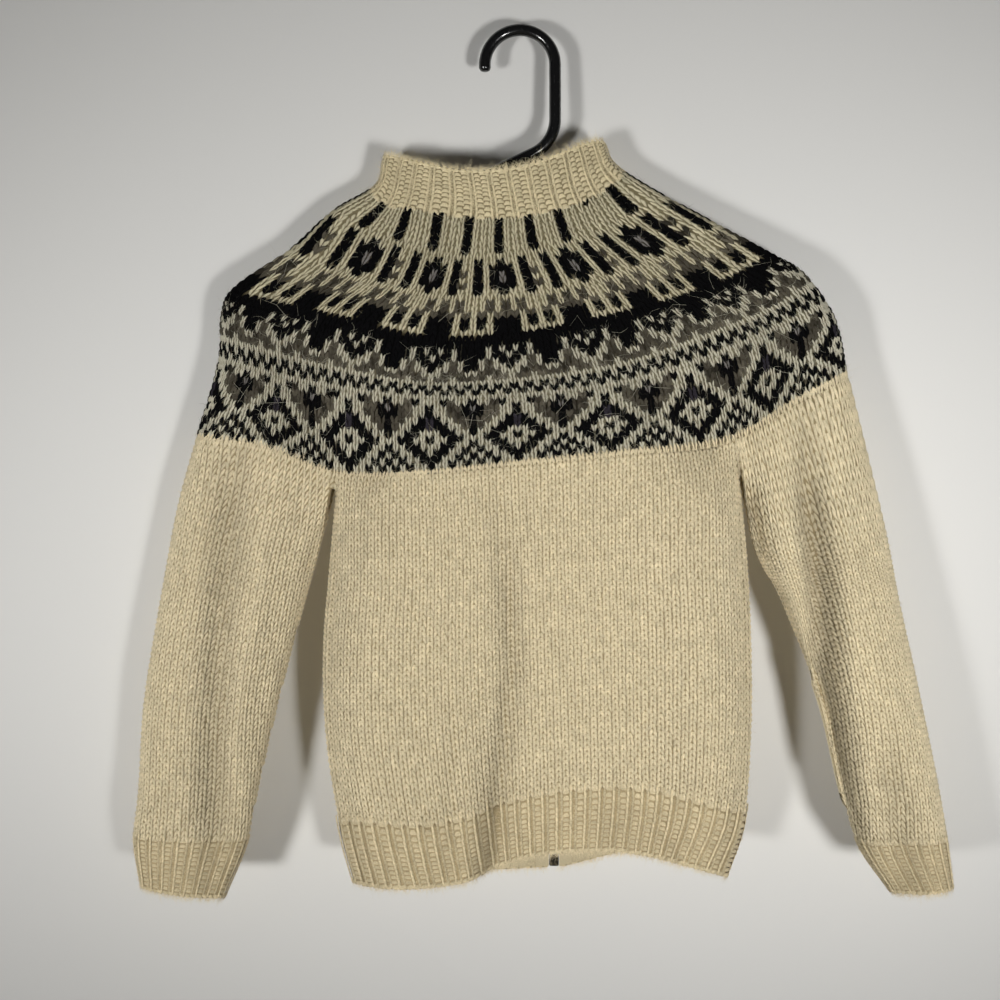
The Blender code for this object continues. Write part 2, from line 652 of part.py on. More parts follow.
def make_body(wool):
    pitch = 2 * BODY_HALF / HEM_RIBS
    raised = ribs_raised(pitch, pitch / 2, -BODY_HALF, HEM_LINES[1])
    for name, corners in zip(("back", "front_left", "front_right"), body_stitches()):
        ribbed = rib_stitches(corners[0], corners[-1], pitch, pitch / 2, -BODY_HALF)
        panel(
            f"body_{name}", body_surface, corners, BODY_LINES, wool, top_normals=body_top_normals
        )
        panel(f"hem_{name}", body_surface, ribbed, HEM_LINES, wool, raised, joins=corners)


def make_sleeves(wool):
    pitch = SLEEVE_ROUND / CUFF_RIBS
    ribbed = rib_stitches(0, SLEEVE_ROUND, pitch, pitch / 2, 0)[1:-1]
    raised = ribs_raised(pitch, pitch / 2, 0, CUFF_LINES[1])
    arms = (
        ("left", -1, left_sleeve_surface, UNDER_ARM + CORNER_LEFT - RIDGE_LEFT),
        ("right", 1, right_sleeve_surface, UNDER_ARM + RIDGE_RIGHT - CORNER_RIGHT),
    )
    for name, side, surface, ridge in arms:
        last = UNDER_ARM + ARM_ROUND
        corners = in_order((0, 1), between(UNDER_ARM, ridge), between(last, ridge), (last + 1,))
        panel(
            f"sleeve_{name}",
            surface,
            corners,
            SLEEVE_LINES,
            wool,
            closed=True,
            top_normals=sleeve_top_normals(side),
        )
        corners = np.append(corners, SLEEVE_ROUND)
        panel(f"cuff_{name}", surface, ribbed, CUFF_LINES, wool, raised, True, joins=corners)


# ================================================================ the zip
def zip_levels():
    """The levels that the zip climbs: surface, stitch at the front edge, and the level on it."""
    shares = (*HEM_LINES[::-1], *BODY_LINES[-2:0:-1])
    rows = (*YOKE_LINES, *NECK_LINES[1:])
    return [(body_surface, BODY_HALF, share) for share in shares] + [
        (yoke_surface, YOKE_HALF, row) for row in rows
    ]


def beside_zip(side, offset, depth):
    """Points up the front, offset from the zip's centre line and depth behind the knitted face."""
    line = []
    for surface, half, level in zip_levels():
        edge, inward = surface([side * half, side * (half - 1)], [level])[:, 0]
        stitch_width = np.linalg.norm(inward - edge)
        stitch = side * (half - (offset - ZIP_EDGE) / stitch_width)
        point = surface([stitch], [level])[0, 0]
        outward = normals_of(surface, [side * half], [level])[0, 0]
        line.append(point - unit(outward * np.array([0, 1, 1])) * depth)
    return np.array(line)


def zip_line():
    """The chain's centre line from the hem up, with its sideways and outward directions."""
    depth = WALL + SEAM + TAPE_THICK / 2
    left, right = beside_zip(-1, TAPE_IN, depth), beside_zip(1, TAPE_IN, depth)
    centre = (left + right) / 2
    across = unit(right - left) * np.sign((right - left)[:, :1])
    upward = unit(np.gradient(centre, axis=0))
    outward = unit(np.cross(upward, across))
    return centre, across, outward * np.sign(outward[:, 1:2])


def place_on_zip(height):
    """The centre line's point, sideways and outward directions at a length up from its foot."""
    centre, across, outward = zip_line()
    climbed = np.concatenate([[0], np.cumsum(np.linalg.norm(np.diff(centre, axis=0), axis=1))])
    columns = [np.array([np.interp(height, climbed, c) for c in part.T]) for part in zip_line()]
    return columns[0], unit(columns[1]), unit(columns[2]), climbed


def make_tapes(cloth):
    for name, side in (("left", -1), ("right", 1)):
        faces = []
        for depth in (WALL + SEAM, WALL + SEAM + TAPE_THICK):
            faces.append(np.array([beside_zip(side, at, depth) for at in (TAPE_IN, TAPE_OUT)]))
        add_object(f"zip_tape_{name}", *wall_mesh(faces[0], faces[1]), cloth)


def make_chain(metal):
    climbed = place_on_zip(0)[3]
    low = BOX_TALL + SEAM
    heights = [low, *(h for h in climbed if h > low + 2)]
    sections = []
    for height in heights:
        centre, across, outward, _ = place_on_zip(height)
        sections.append([
            [centre + a * across * CHAIN_WIDE / 2 + b * outward * CHAIN_THICK / 2 for b in (1, -1)]
            for a in (-1, 1)
        ])
    grid = np.array(sections).transpose(1, 0, 2, 3)
    add_object("zip_chain", *wall_mesh(grid[:, :, 0], grid[:, :, 1]), metal)


def make_box(metal):
    centre, across, outward, _ = place_on_zip(BOX_TALL / 2)
    axes = (across, np.cross(outward, across), outward)
    box = box_mesh(centre, axes, (BOX_WIDE, BOX_TALL, BOX_THICK))
    add_object("zip_box", *box, metal)


def slider_frame():
    """The slider's seat on the chain, and its sideways, upward and outward directions."""
    top = place_on_zip(0)[3][-1]
    centre = place_on_zip(top - SLIDER_BELOW_TOP)[0]
    above = place_on_zip(top - SLIDER_BELOW_TOP + 5)[0]
    below = place_on_zip(top - SLIDER_BELOW_TOP - 5)[0]
    across = np.array([1.0, 0, 0])
    upward = unit((above - below) * np.array([0, 1, 1]))
    outward = np.cross(upward, across)
    return centre + outward * (CHAIN_THICK / 2 + SEAM), across, upward, outward


def make_slider(metal):
    seat, across, upward, outward = slider_frame()
    axes = (across, upward, outward)
    plate = box_mesh(seat + outward * SLIDER_THICK / 2, axes, (SLIDER_WIDE, SLIDER_TALL, SLIDER_THICK))
    half, foot = CROWN_TALL / 2, SLIDER_THICK - 0.5
    top = SLIDER_THICK + CROWN_RISE
    outline = [(-half, foot), (-half, top), (half, top), (half, foot)]
    opening = [
        (CROWN_BAR - half, foot),
        (CROWN_BAR - half, top - CROWN_BAR),
        (half - CROWN_BAR, top - CROWN_BAR),
        (half - CROWN_BAR, foot),
    ]
    shapes = []
    for loop in (outline, opening):
        shapes.append([
            [seat + across * x + upward * t + outward * n for x in (-CROWN_WIDE / 2, CROWN_WIDE / 2)]
            for t, n in loop
        ])
    crown = wall_mesh(np.array(shapes[0]), np.array(shapes[1]))
    fuse("zip_slider", plate, crown, metal)


def make_tab(metal):
    seat, across, upward, outward = slider_frame()
    pin = seat + outward * (SLIDER_THICK + PIN_RISE)
    wide, window = TAB_WIDE / 2, TAB_WINDOW_WIDE / 2
    rim = TAB_THICK / 2
    outline = [
        (-wide, rim),
        (wide, rim),
        (wide, TAB_CORNER - TAB_LONG),
        (wide - TAB_CORNER, -TAB_LONG),
        (TAB_CORNER - wide, -TAB_LONG),
        (-wide, TAB_CORNER - TAB_LONG),
    ]
    hole = [
        (-window, -rim),
        (window, -rim),
        (window, 0.5 - TAB_WINDOW_LONG),
        (window - 0.5, -TAB_WINDOW_LONG),
        (0.5 - window, -TAB_WINDOW_LONG),
        (-window, 0.5 - TAB_WINDOW_LONG),
    ]
    shapes = []
    for loop in (outline, hole):
        shapes.append([
            [pin + across * x + upward * t + outward * n for n in (-TAB_THICK / 2, TAB_THICK / 2)]
            for x, t in loop
        ])
    mesh = wall_mesh(np.array(shapes[0]), np.array(shapes[1]), closed=True)
    add_object("zip_pull", *mesh, metal, origin=pin)
    print("zip_pull joint at", [round(c * MM, 6) for c in pin], "outward", outward.round(4))


# ================================================================ the hanger
def arc(centre, radius, first, last, count):
    """Points in the plane y = 0 round a centre, between two angles in degrees."""
    angles = np.radians(np.linspace(first, last, count))
    x = centre[0] + radius * np.cos(angles)
    z = centre[1] + radius * np.sin(angles)
    return np.stack([x, np.zeros(count), z], axis=-1)


def make_hanger(plastic):
    meet = np.array(ARMS_MEET)
    left_slope, right_slope = ARM_SLOPE + TILT, ARM_SLOPE - TILT

    def arm(slope, way, length):
        angle = math.radians(slope)
        return meet + length * np.array([way * math.cos(angle), -math.sin(angle)])

    def end_centre(slope, way):
        angle = math.radians(slope)
        return arm(slope, way, ARM_LENGTH) - END_BEND * np.array([way * math.sin(angle), math.cos(angle)])

    bend_x = HOOK_RADIUS - NECK_BEND
    slope = math.radians(left_slope)
    bend_z = meet[1] + (NECK_BEND + math.sin(slope) * (bend_x - meet[0])) / math.cos(slope)
    hook_z = TUBE - HOOK_RADIUS
    bar = 90 - TILT
    path = np.concatenate([
        arc((0, hook_z), HOOK_RADIUS, HOOK_SWEEP, 0, 20),
        arc((bend_x, bend_z), NECK_BEND, 0, left_slope - 90, 7),
        arc(end_centre(left_slope, -1), END_BEND, 90 + left_slope, 270 - TILT, 9),
        arc(end_centre(right_slope, 1), END_BEND, -bar - 2 * TILT, 90 - right_slope, 9),
        [[p[0], 0, p[1]] for p in (arm(right_slope, 1, WELD_LONG),)],
    ])
    tip = path[0] + (path[0] - path[1]) / np.linalg.norm(path[0] - path[1]) * TUBE * 0.8
    ring = path[0] + (tip - path[0]) * 0.65
    path = np.concatenate([[tip, ring], path])
    radii = [TUBE * 0.45, TUBE * 0.82] + [TUBE] * (len(path) - 2)
    root = np.array([[p[0], 0, p[1]] for p in (arm(right_slope, 1, -1.0), arm(right_slope, 1, WELD_LONG + 8))])
    fuse("hanger", tube_mesh(path, radii), tube_mesh(root, [WELD_TUBE] * 2), plastic)


def main():
    for old in list(bpy.data.objects):
        bpy.data.objects.remove(old)
    cream = material("cream_wool", CREAM_WOOL, 0.95)
    patterned = material("yoke_wool", YOKE_WOOL, 0.95)
    cloth = material("zip_cloth", ZIP_CLOTH, 0.85)
    metal = material("dark_metal", DARK_METAL, 0.4, 1.0)
    plastic = material("black_plastic", BLACK_PLASTIC, 0.25)
    make_yoke(patterned)
    make_neckband(cream)
    make_body(cream)
    make_sleeves(cream)
    make_tapes(cloth)
    make_chain(metal)
    make_box(metal)
    make_slider(metal)
    make_tab(metal)
    make_hanger(plastic)


main()
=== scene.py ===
# %% [markdown]
# # A nordic yoke cardigan on its hanger
# A child's wool cardigan hangs with its back to us. It was knitted by hand from thick, lightly
# twisted wool: a body and two sleeves in stocking stitch, ribbing at every edge, and a round yoke
# with bands of black and grey motifs. A zip closes the front, and a black tubular hanger holds it.
# The fixed model gives the places. This script knits the cloth over them, stitch by stitch.

import json
import math

import bmesh
import bpy
import numpy as np
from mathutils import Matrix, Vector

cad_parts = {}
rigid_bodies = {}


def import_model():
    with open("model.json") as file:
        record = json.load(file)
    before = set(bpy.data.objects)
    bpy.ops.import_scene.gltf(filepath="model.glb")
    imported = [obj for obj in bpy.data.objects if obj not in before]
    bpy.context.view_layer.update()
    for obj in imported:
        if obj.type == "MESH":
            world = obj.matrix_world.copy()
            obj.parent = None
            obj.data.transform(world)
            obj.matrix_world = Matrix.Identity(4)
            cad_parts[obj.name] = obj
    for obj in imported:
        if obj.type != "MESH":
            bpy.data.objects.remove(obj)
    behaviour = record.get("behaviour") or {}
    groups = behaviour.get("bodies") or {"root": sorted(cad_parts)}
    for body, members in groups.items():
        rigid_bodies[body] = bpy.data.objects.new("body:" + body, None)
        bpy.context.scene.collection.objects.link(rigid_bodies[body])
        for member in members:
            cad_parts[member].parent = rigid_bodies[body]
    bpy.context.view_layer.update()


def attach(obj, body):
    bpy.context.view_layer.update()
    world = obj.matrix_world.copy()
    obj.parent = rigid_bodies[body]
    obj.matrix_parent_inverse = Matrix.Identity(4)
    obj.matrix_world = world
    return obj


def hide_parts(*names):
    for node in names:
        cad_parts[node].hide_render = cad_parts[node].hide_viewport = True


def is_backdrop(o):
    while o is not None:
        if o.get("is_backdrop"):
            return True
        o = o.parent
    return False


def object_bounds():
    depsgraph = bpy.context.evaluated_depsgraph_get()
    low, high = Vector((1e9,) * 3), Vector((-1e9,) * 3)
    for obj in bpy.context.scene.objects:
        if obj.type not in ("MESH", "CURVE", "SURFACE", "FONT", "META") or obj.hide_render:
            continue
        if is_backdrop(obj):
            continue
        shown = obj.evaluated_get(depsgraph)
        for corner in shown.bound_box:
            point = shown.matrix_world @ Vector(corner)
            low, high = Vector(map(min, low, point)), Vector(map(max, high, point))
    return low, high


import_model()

# %% [markdown]
# ## The camera
# A garment is looked at straight on, from its own height, so that its outline isn't bent. The lens
# takes in 740 mm at the garment's distance, the width that holds both cuffs with some wall round
# them.

# %% Set the camera
MM = 0.001  # metres in a millimetre
CAMERA_PLACE = (-14.8, -1200.0, -343.4)  # mm
VIEW_WIDTH = 740.0  # mm of the garment's plane that the frame takes in


def add_object(name, data):
    made = bpy.data.objects.new(name, data)
    bpy.context.scene.collection.objects.link(made)
    return made


lens = bpy.data.cameras.new("camera")
lens.sensor_width = 36.0
lens.lens = lens.sensor_width * -CAMERA_PLACE[1] / VIEW_WIDTH
camera = add_object("camera", lens)
camera.location = [c * MM for c in CAMERA_PLACE]
camera.rotation_euler = (math.radians(90), 0, 0)
bpy.context.scene.camera = camera
bpy.context.scene.view_settings.view_transform = "Standard"  # colours come out as they are picked
print("lens", round(lens.lens, 2), "mm")

# %% [markdown]
# ## The cloth's own map
# A knitted garment has a natural map: columns of stitches run up it and rows run round it. Points
# could be read back from the fixed solids, but then a stitch wouldn't know its column. So the
# surfaces are worked out again from the same short tables: each row of a table is one level of the
# garment, and a smooth curve is drawn through the levels and round the stations.

# %% Curves through tables
def smooth_rows(places, values, at):
    """A smooth curve through rows of values at rising places, read at the points `at`."""
    places, values = np.asarray(places, float), np.asarray(values, float)
    at = np.atleast_1d(np.asarray(at, float))
    steps = np.diff(places)
    rates = np.diff(values, axis=0) / steps.reshape(-1, *[1] * (values.ndim - 1))
    slopes = np.empty_like(values)
    slopes[0], slopes[-1] = rates[0], rates[-1]
    for i in range(1, len(places) - 1):
        before, after = steps[i - 1], steps[i]
        slopes[i] = (after * rates[i - 1] + before * rates[i]) / (before + after)
    i = np.clip(np.searchsorted(places, at, side="right") - 1, 0, len(steps) - 1)
    width = steps[i].reshape(-1, *[1] * (values.ndim - 1))
    t = (at - places[i]).reshape(width.shape) / width
    return (
        values[i] * (1 + 2 * t) * (1 - t) ** 2
        + slopes[i] * width * t * (1 - t) ** 2
        + values[i + 1] * t * t * (3 - 2 * t)
        + slopes[i + 1] * width * t * t * (t - 1)
    )


def unit(vectors):
    return vectors / np.maximum(np.linalg.norm(vectors, axis=-1, keepdims=True), 1e-9)


def fold_push(points, folds):
    """How far the back surface moves forward (+Y) at these points, for folds along paths.
    A fold grows over the first third of its path and fades over a quarter beyond its end."""
    push = np.zeros(points.shape[:-1])
    for path, half_width, depth in folds:
        xs, down = np.array(path, float).T * np.array([[1], [-1]])
        along = (-points[..., 2] - down[0]) / (down[-1] - down[0])
        across = (points[..., 0] - np.interp(-points[..., 2], down, xs)) / half_width
        grow = np.sin(np.clip(along * 3, 0, 1) * math.pi / 2) ** 2
        fade = np.clip((1.25 - along) / 0.25, 0, 1)
        push += depth * (grow * fade) * np.exp(-across * across)
    return push


# %% The yoke's surface
ZIP_EDGE = 4.5  # mm from the zip's centre line to each knitted front edge
RIDGE_LEFT, CORNER_LEFT, RIDGE_RIGHT, CORNER_RIGHT = -50, -26, 51, 30  # stitch numbers
YOKE_STATIONS = (RIDGE_LEFT, -40, CORNER_LEFT, -13, 0, 15, CORNER_RIGHT, 41, RIDGE_RIGHT)
YOKE_ROUND, NECK_ROUND = 204, 84  # stitches round the joining row and the neck
YOKE_HALF, YOKE_ROWS = YOKE_ROUND // 2, 43
YOKE_LEVELS = (
    # row, then x and z at the nine stations from the left ridge to the right ridge
    (0, (-239, -297), (-197, -302), (-133, -323), (-69, -325), (-2, -319),
     (79, -311), (157, -300), (200, -275), (243, -253)),
    (12, (-222, -234), (-195, -242), (-135, -255), (-72, -266), (-5, -267),
     (73, -258), (146, -235), (193, -214), (227, -198)),
    (17, (-221, -209), (-196, -217), (-134, -235), (-71, -250), (-8, -249),
     (67, -237), (136, -213), (179, -196), (209, -175)),
    (23, (-213, -188), (-178, -197), (-126, -209), (-68, -223), (-9, -223),
     (57, -211), (118, -195), (158, -180), (189, -163)),
    (30, (-170, -158), (-145, -170), (-100, -184), (-58, -193), (-11, -193),
     (42, -186), (91, -171), (126, -156), (149, -141)),
    (37, (-138, -129), (-120, -141), (-84, -155), (-50, -164), (-16, -164),
     (23, -158), (60, -146), (88, -132), (110, -120)),
    (43, (-112, -114), (-102, -125), (-76, -131), (-45, -137), (-17, -139),
     (15, -135), (46, -125), (66, -113), (78, -101)),
    (55, (-101, -90), (-91, -92), (-70, -98), (-46, -104), (-22, -105),
     (7, -100), (35, -88), (51, -81), (62, -79)),
)
YOKE_DEPTHS = (
    # row, half depths at the centre, quarter, corner, arm and nose, zip x, front drop
    (0, 38, 34, 14, 25, 13, 18, 0),
    (12, 36, 33, 24, 27, 14, 12, 4),
    (17, 34, 31, 25, 25, 13, 9, 6),
    (23, 32, 29, 24, 21, 12, 6, 9),
    (30, 29, 27, 21, 15, 10, 2, 14),
    (37, 28, 25, 18, 12, 9, -2, 18),
    (43, 27, 24, 17, 11, 8, -6, 22),
    (55, 26, 23, 16, 10, 7, -8, 22),
)
NOSE, NOSE_SHARE = 4, 0.18  # a ridge is rounded over this many stitches, and this share of the way
FRONT_STITCHES = {-1: (-59, -68, -85), 1: (61, 72, 87)}  # a front's arm, corner and quarter stations
FRONT_DROPS = (0.15, 0.4, 0.8)  # how much of the front's drop each of them has


def yoke_controls():
    rings = []
    for level, (_, centre, quarter, corner, arm, nose, zip_x, drop) in zip(YOKE_LEVELS, YOKE_DEPTHS):
        xz = np.array(level[1:], float)
        depth = (0, arm, corner, quarter, centre, quarter, corner, arm, 0)
        ring = [[s, x, -d, z] for s, (x, z), d in zip(YOKE_STATIONS, xz, depth)]
        centre_z = xz[len(xz) // 2][1]
        for side, ridge, ends in ((-1, RIDGE_LEFT, xz[:3]), (1, RIDGE_RIGHT, xz[:-4:-1])):
            end, (arm_x, arm_z), (corner_x, corner_z) = ends
            nose_x, nose_z = end + NOSE_SHARE * (ends[1] - end)
            for way in (-1, 1):
                ring.append([ridge + way * side * NOSE, nose_x, way * nose, nose_z])
            places = (
                (arm_x, arm, arm_z), (corner_x, corner, corner_z),
                ((zip_x + corner_x) / 2, quarter, (centre_z + corner_z) / 2),
            )
            for stitch, (x, y, z), share in zip(FRONT_STITCHES[side], places, FRONT_DROPS):
                ring.append([stitch, x, y, z - share * drop])
            ring.append([side * YOKE_HALF, zip_x + side * ZIP_EDGE, centre, centre_z - drop])
        rings.append(sorted(ring, key=lambda point: point[0]))
    rings = np.array(rings, float)
    return rings[0, :, 0], rings[:, :, 1:]


YOKE_AT, YOKE_RINGS = yoke_controls()
print("yoke:", len(YOKE_RINGS), "levels of", len(YOKE_AT), "places")


def yoke_surface(stitch, row):
    by_row = smooth_rows([level[0] for level in YOKE_LEVELS], YOKE_RINGS, row)
    return smooth_rows(YOKE_AT, np.moveaxis(by_row, 1, 0), stitch)


# %% The body's surface
BODY_HALF, SIDE_LEFT, SIDE_RIGHT = 64, -28, 32
RIB_SHARE = 0.3  # the hem ribbing's length, beside the knitting above it
BODY_STATIONS = (
    -BODY_HALF, -47, -30, SIDE_LEFT, CORNER_LEFT, -13, 0,
    15, CORNER_RIGHT, SIDE_RIGHT, 34, 49, BODY_HALF,
)
BODY_LEVELS = (
    # share of the way to the ribbing, then x and z at the sides, corners and back stations
    (0.0, (-134.6, -324), (-133, -323), (-69, -325), (-2, -319),
     (79, -311), (157, -300), (158.6, -301)),
    (0.27, (-142, -392), (-134, -392), (-67, -390), (0, -384),
     (79, -377), (160, -375), (168, -377)),
    (0.53, (-147, -458), (-138, -456), (-68, -453), (1, -444),
     (81, -437), (163, -446), (172, -447)),
    (0.79, (-144, -525), (-136, -522), (-66, -518), (3, -506),
     (82, -500), (163, -515), (172, -517)),
    (1.0, (-135, -582), (-127, -579), (-59, -576), (5, -560),
     (83, -554), (159, -571), (168, -574)),
    (1.3, (-124, -625), (-116, -624), (-51, -618), (7, -603),
     (79, -601), (144, -616), (154, -621)),
)
FRONT_RIDES_UP = 15  # mm that the right front's hem, beyond the zip, has ridden up
FRONT_BOWS = 6  # mm that the middle of a front lies nearer to its side than to the zip
BODY_DEPTHS = (
    # share, corner, back L, centre, back R, front quarter, front zip, zip x, front z at the zip
    (0.0, 14, 34, 38, 34, 34, 38, 18, -319),
    (0.27, 17, 35, 37, 33, 34, 37, 21, -388),
    (0.53, 17, 35, 33, 30, 32, 35, 24, -454),
    (0.79, 16, 36, 28, 26, 29, 33, 25, -520),
    (1.0, 15, 38, 22, 20, 26, 31, 26, -573),
    (1.3, 14, 40, 17, 14, 24, 30, 26, -620),
)
FOLDS_BODY = (
    # a path of x and z from the top down, half width, depth: valleys are positive, ridges negative
    (((-18, -300), (-9, -400), (-5, -458), (-11, -516), (-18, -580), (-22, -660)), 8, 6.3),
    (((-34, -470), (-37, -660)), 9, -3.0),
    (((-47, -470), (-50, -590)), 6, 2.0),
    (((72, -535), (66, -660)), 12, 3.5),
    (((118, -330), (152, -470)), 12, 2.0),
    (((-112, -335), (-128, -450)), 10, 2.0),
)


def body_rings():
    rings = []
    for level, depths in zip(BODY_LEVELS, BODY_DEPTHS):
        share, corner, back_l, centre, back_r, front_q, front_c, zip_x, zip_z = depths
        side_l, corner_l, at_l, at_c, at_r, corner_r, side_r = level[1:]
        ridden = FRONT_RIDES_UP * max(share - 1, 0) / RIB_SHARE
        rings.append([
            (zip_x - ZIP_EDGE, front_c, zip_z),
            ((zip_x + side_l[0]) / 2 - FRONT_BOWS, front_q, (zip_z + side_l[1]) / 2),
            (corner_l[0], corner, corner_l[1]),
            (side_l[0], 0, side_l[1]),
            (corner_l[0], -corner, corner_l[1]),
            (at_l[0], -back_l, at_l[1]),
            (at_c[0], -centre, at_c[1]),
            (at_r[0], -back_r, at_r[1]),
            (corner_r[0], -corner, corner_r[1]),
            (side_r[0], 0, side_r[1]),
            (corner_r[0], corner, corner_r[1]),
            ((zip_x + side_r[0]) / 2 + FRONT_BOWS, front_q, (zip_z + side_r[1]) / 2 + ridden),
            (zip_x + ZIP_EDGE, front_c, zip_z),
        ])
    return np.array(rings, float)


BODY_RINGS = body_rings()
print("body:", len(BODY_RINGS), "levels of", len(BODY_STATIONS), "places")
TOP_SHARE = 0.27  # how far down the body its top edge is drawn to the yoke's


def body_surface(stitch, share):
    """The body's outer surface. Its top edge is the yoke's joining row, stitch for stitch."""
    s, share = np.asarray(stitch, float), np.asarray(share, float)
    by_share = smooth_rows([level[0] for level in BODY_LEVELS], BODY_RINGS, share)
    points = smooth_rows(BODY_STATIONS, np.moveaxis(by_share, 1, 0), s)
    more = YOKE_HALF - BODY_HALF
    above = np.where(s > SIDE_RIGHT + 1, s + more, np.where(s < SIDE_LEFT - 1, s - more, s))
    past = np.minimum(s - CORNER_LEFT, CORNER_RIGHT - s)
    past = np.maximum(past, np.maximum(SIDE_LEFT - 2 - s, s - SIDE_RIGHT - 2))
    shift = yoke_surface(above, [0.0])[:, 0] - smooth_rows(BODY_STATIONS, BODY_RINGS[0], s)
    shift = np.where((past > 0)[:, None], shift, 0)
    points = points + shift[:, None] * (np.clip(1 - share / TOP_SHARE, 0, 1) ** 2)[None, :, None]
    back = np.clip((s - CORNER_LEFT) / 4, 0, 1) * np.clip((CORNER_RIGHT - s) / 4, 0, 1)
    points[..., 1] += fold_push(points, FOLDS_BODY) * back[:, None]
    return points


# %% The sleeves' surfaces
SLEEVE_ROUND, ARM_ROUND, UNDER_ARM = 46, 42, 2  # stitches round it, over it, and to mid underarm
SEAM = 0.3  # mm between neighbouring pieces
CUFF_TOP, CUFF_END = 283, 323  # mm down the sleeve
SLEEVES = {
    # mm down, outer x and z, inner x and z, half depth; then the folds
    -1: (
        (
            (40, (-252, -343), (-144, -366), 24),
            (109, (-266, -417), (-161, -426), 25),
            (182, (-278, -491), (-179, -495), 22),
            (255, (-283, -565), (-195, -565), 19),
            (283, (-286, -592), (-201, -594), 17),
            (323, (-281, -628), (-218, -636), 15),
        ),
        (
            (((-204, -250), (-213, -380), (-219, -440), (-221, -490), (-224, -545)), 12, 9.0),
            (((-176, -335), (-190, -420), (-208, -520)), 8, -3.0),
            (((-218, -540), (-230, -640)), 8, 2.0),
        ),
    ),
    1: (
        (
            (40, (266, -347), (170, -366), 27),
            (109, (280, -417), (194, -419), 31),
            (182, (296, -491), (222, -491), 31),
            (255, (311, -565), (240, -565), 26),
            (283, (316, -594), (249, -596), 22),
            (323, (320, -628), (273, -632), 20),
        ),
        (
            (((203, -240), (210, -340), (217, -400), (222, -480), (240, -590)), 10, 15.0),
            (((176, -335), (190, -390), (206, -440)), 9, -3.5),
            (((166, -322), (172, -380)), 7, 9.0),
            (((236, -300), (240, -470)), 9, -2.5),
            (((262, -505), (284, -620)), 12, 7.0),
        ),
    ),
}


def ridge_stitch(side, down):
    """The stitch on a sleeve's outer ridge, which drifts by three on the left one."""
    return SLEEVE_ROUND / 2 + (3 * np.clip(1 - down / 180, 0, 1) if side < 0 else 0 * down)


def ellipse_round(share, half_width, half_depth):
    """Points evenly spaced along a flattened ring, from its inner end over the back and round."""
    angle = np.linspace(0, 2 * math.pi, 241)
    x, y = half_width * np.cos(angle), -half_depth * np.sin(angle)
    length = np.concatenate([[0], np.cumsum(np.hypot(np.diff(x), np.diff(y)))])
    at = np.interp(share, length / length[-1], angle)
    return np.stack([half_width * np.cos(at), -half_depth * np.sin(at)], axis=-1)


def sleeve_top(stitch, side):
    """The armhole edge: the body's underarm edge, and the yoke's joining row over the sleeve."""
    middle, way = (SIDE_LEFT, 1) if side < 0 else (SIDE_RIGHT, -1)
    from_middle = np.where(stitch > SLEEVE_ROUND / 2, stitch - SLEEVE_ROUND, stitch)
    under = np.abs(from_middle) <= UNDER_ARM
    on_body = body_surface(middle + way * np.clip(from_middle, -UNDER_ARM, UNDER_ARM), [0.0])[:, 0]
    corner = CORNER_LEFT if side < 0 else CORNER_RIGHT
    over = corner + side * np.clip(stitch - UNDER_ARM, 0, ARM_ROUND)
    on_yoke = yoke_surface(over, [0.0])[:, 0]
    return np.where(under[:, None], on_body, on_yoke) + np.array([side * SEAM, 0, 0])


def sleeve_surface(side, stitch, down):
    stitch, down = np.mod(np.asarray(stitch, float), SLEEVE_ROUND), np.asarray(down, float)
    table, folds = SLEEVES[side]
    rings, places = [sleeve_top(stitch, side)], [0.0]
    for at, outer, inner, half_depth in table:
        outer, inner = np.array(outer, float), np.array(inner, float)
        mid, half = (outer + inner) / 2, np.linalg.norm(inner - outer) / 2
        along = (inner - outer) / np.linalg.norm(inner - outer)
        share = np.interp(stitch, (0, float(ridge_stitch(side, at)), SLEEVE_ROUND), (0, 0.5, 1))
        ring = ellipse_round(share, half, half_depth)
        x, z = mid[0] + ring[:, 0] * along[0], mid[1] + ring[:, 0] * along[1]
        rings.append(np.stack([x, ring[:, 1], z], axis=-1))
        places.append(at)
    points = np.moveaxis(smooth_rows(places, np.array(rings), down), 1, 0)
    # no folds within 25 mm of the yoke, and less of them where the back turns in to the ridges
    fade = np.clip(-points[..., 1] / 12, 0, 1) * np.clip(down / 25, 0, 1)[None, :]
    points[..., 1] += fold_push(points, folds) * fade
    return points


for side in SLEEVES:
    cuff = sleeve_surface(side, [0, SLEEVE_ROUND / 2], [CUFF_END])[:, 0]
    print("cuff from its inner to its outer end, mm:", cuff.round(1).tolist())

# %% [markdown]
# ## Reading the map quickly
# Tens of thousands of stitches each need a place and a direction. Working out the curves for every
# point would be slow, so each surface is drawn once as a fine net, four knots to a stitch and row,
# and points between the knots are read off in a straight line.

# %% Make a fine net of a surface
NET = 4  # knots to a stitch, and to a row


def between(grid, i, k):
    """Reads a grid at places between its knots, in straight lines."""
    i0, k0 = i.astype(int), k.astype(int)
    a, b = (i - i0)[..., None], (k - k0)[..., None]
    low = grid[i0, k0] * (1 - a) + grid[i0 + 1, k0] * a
    high = grid[i0, k0 + 1] * (1 - a) + grid[i0 + 1, k0 + 1] * a
    return low * (1 - b) + high * b


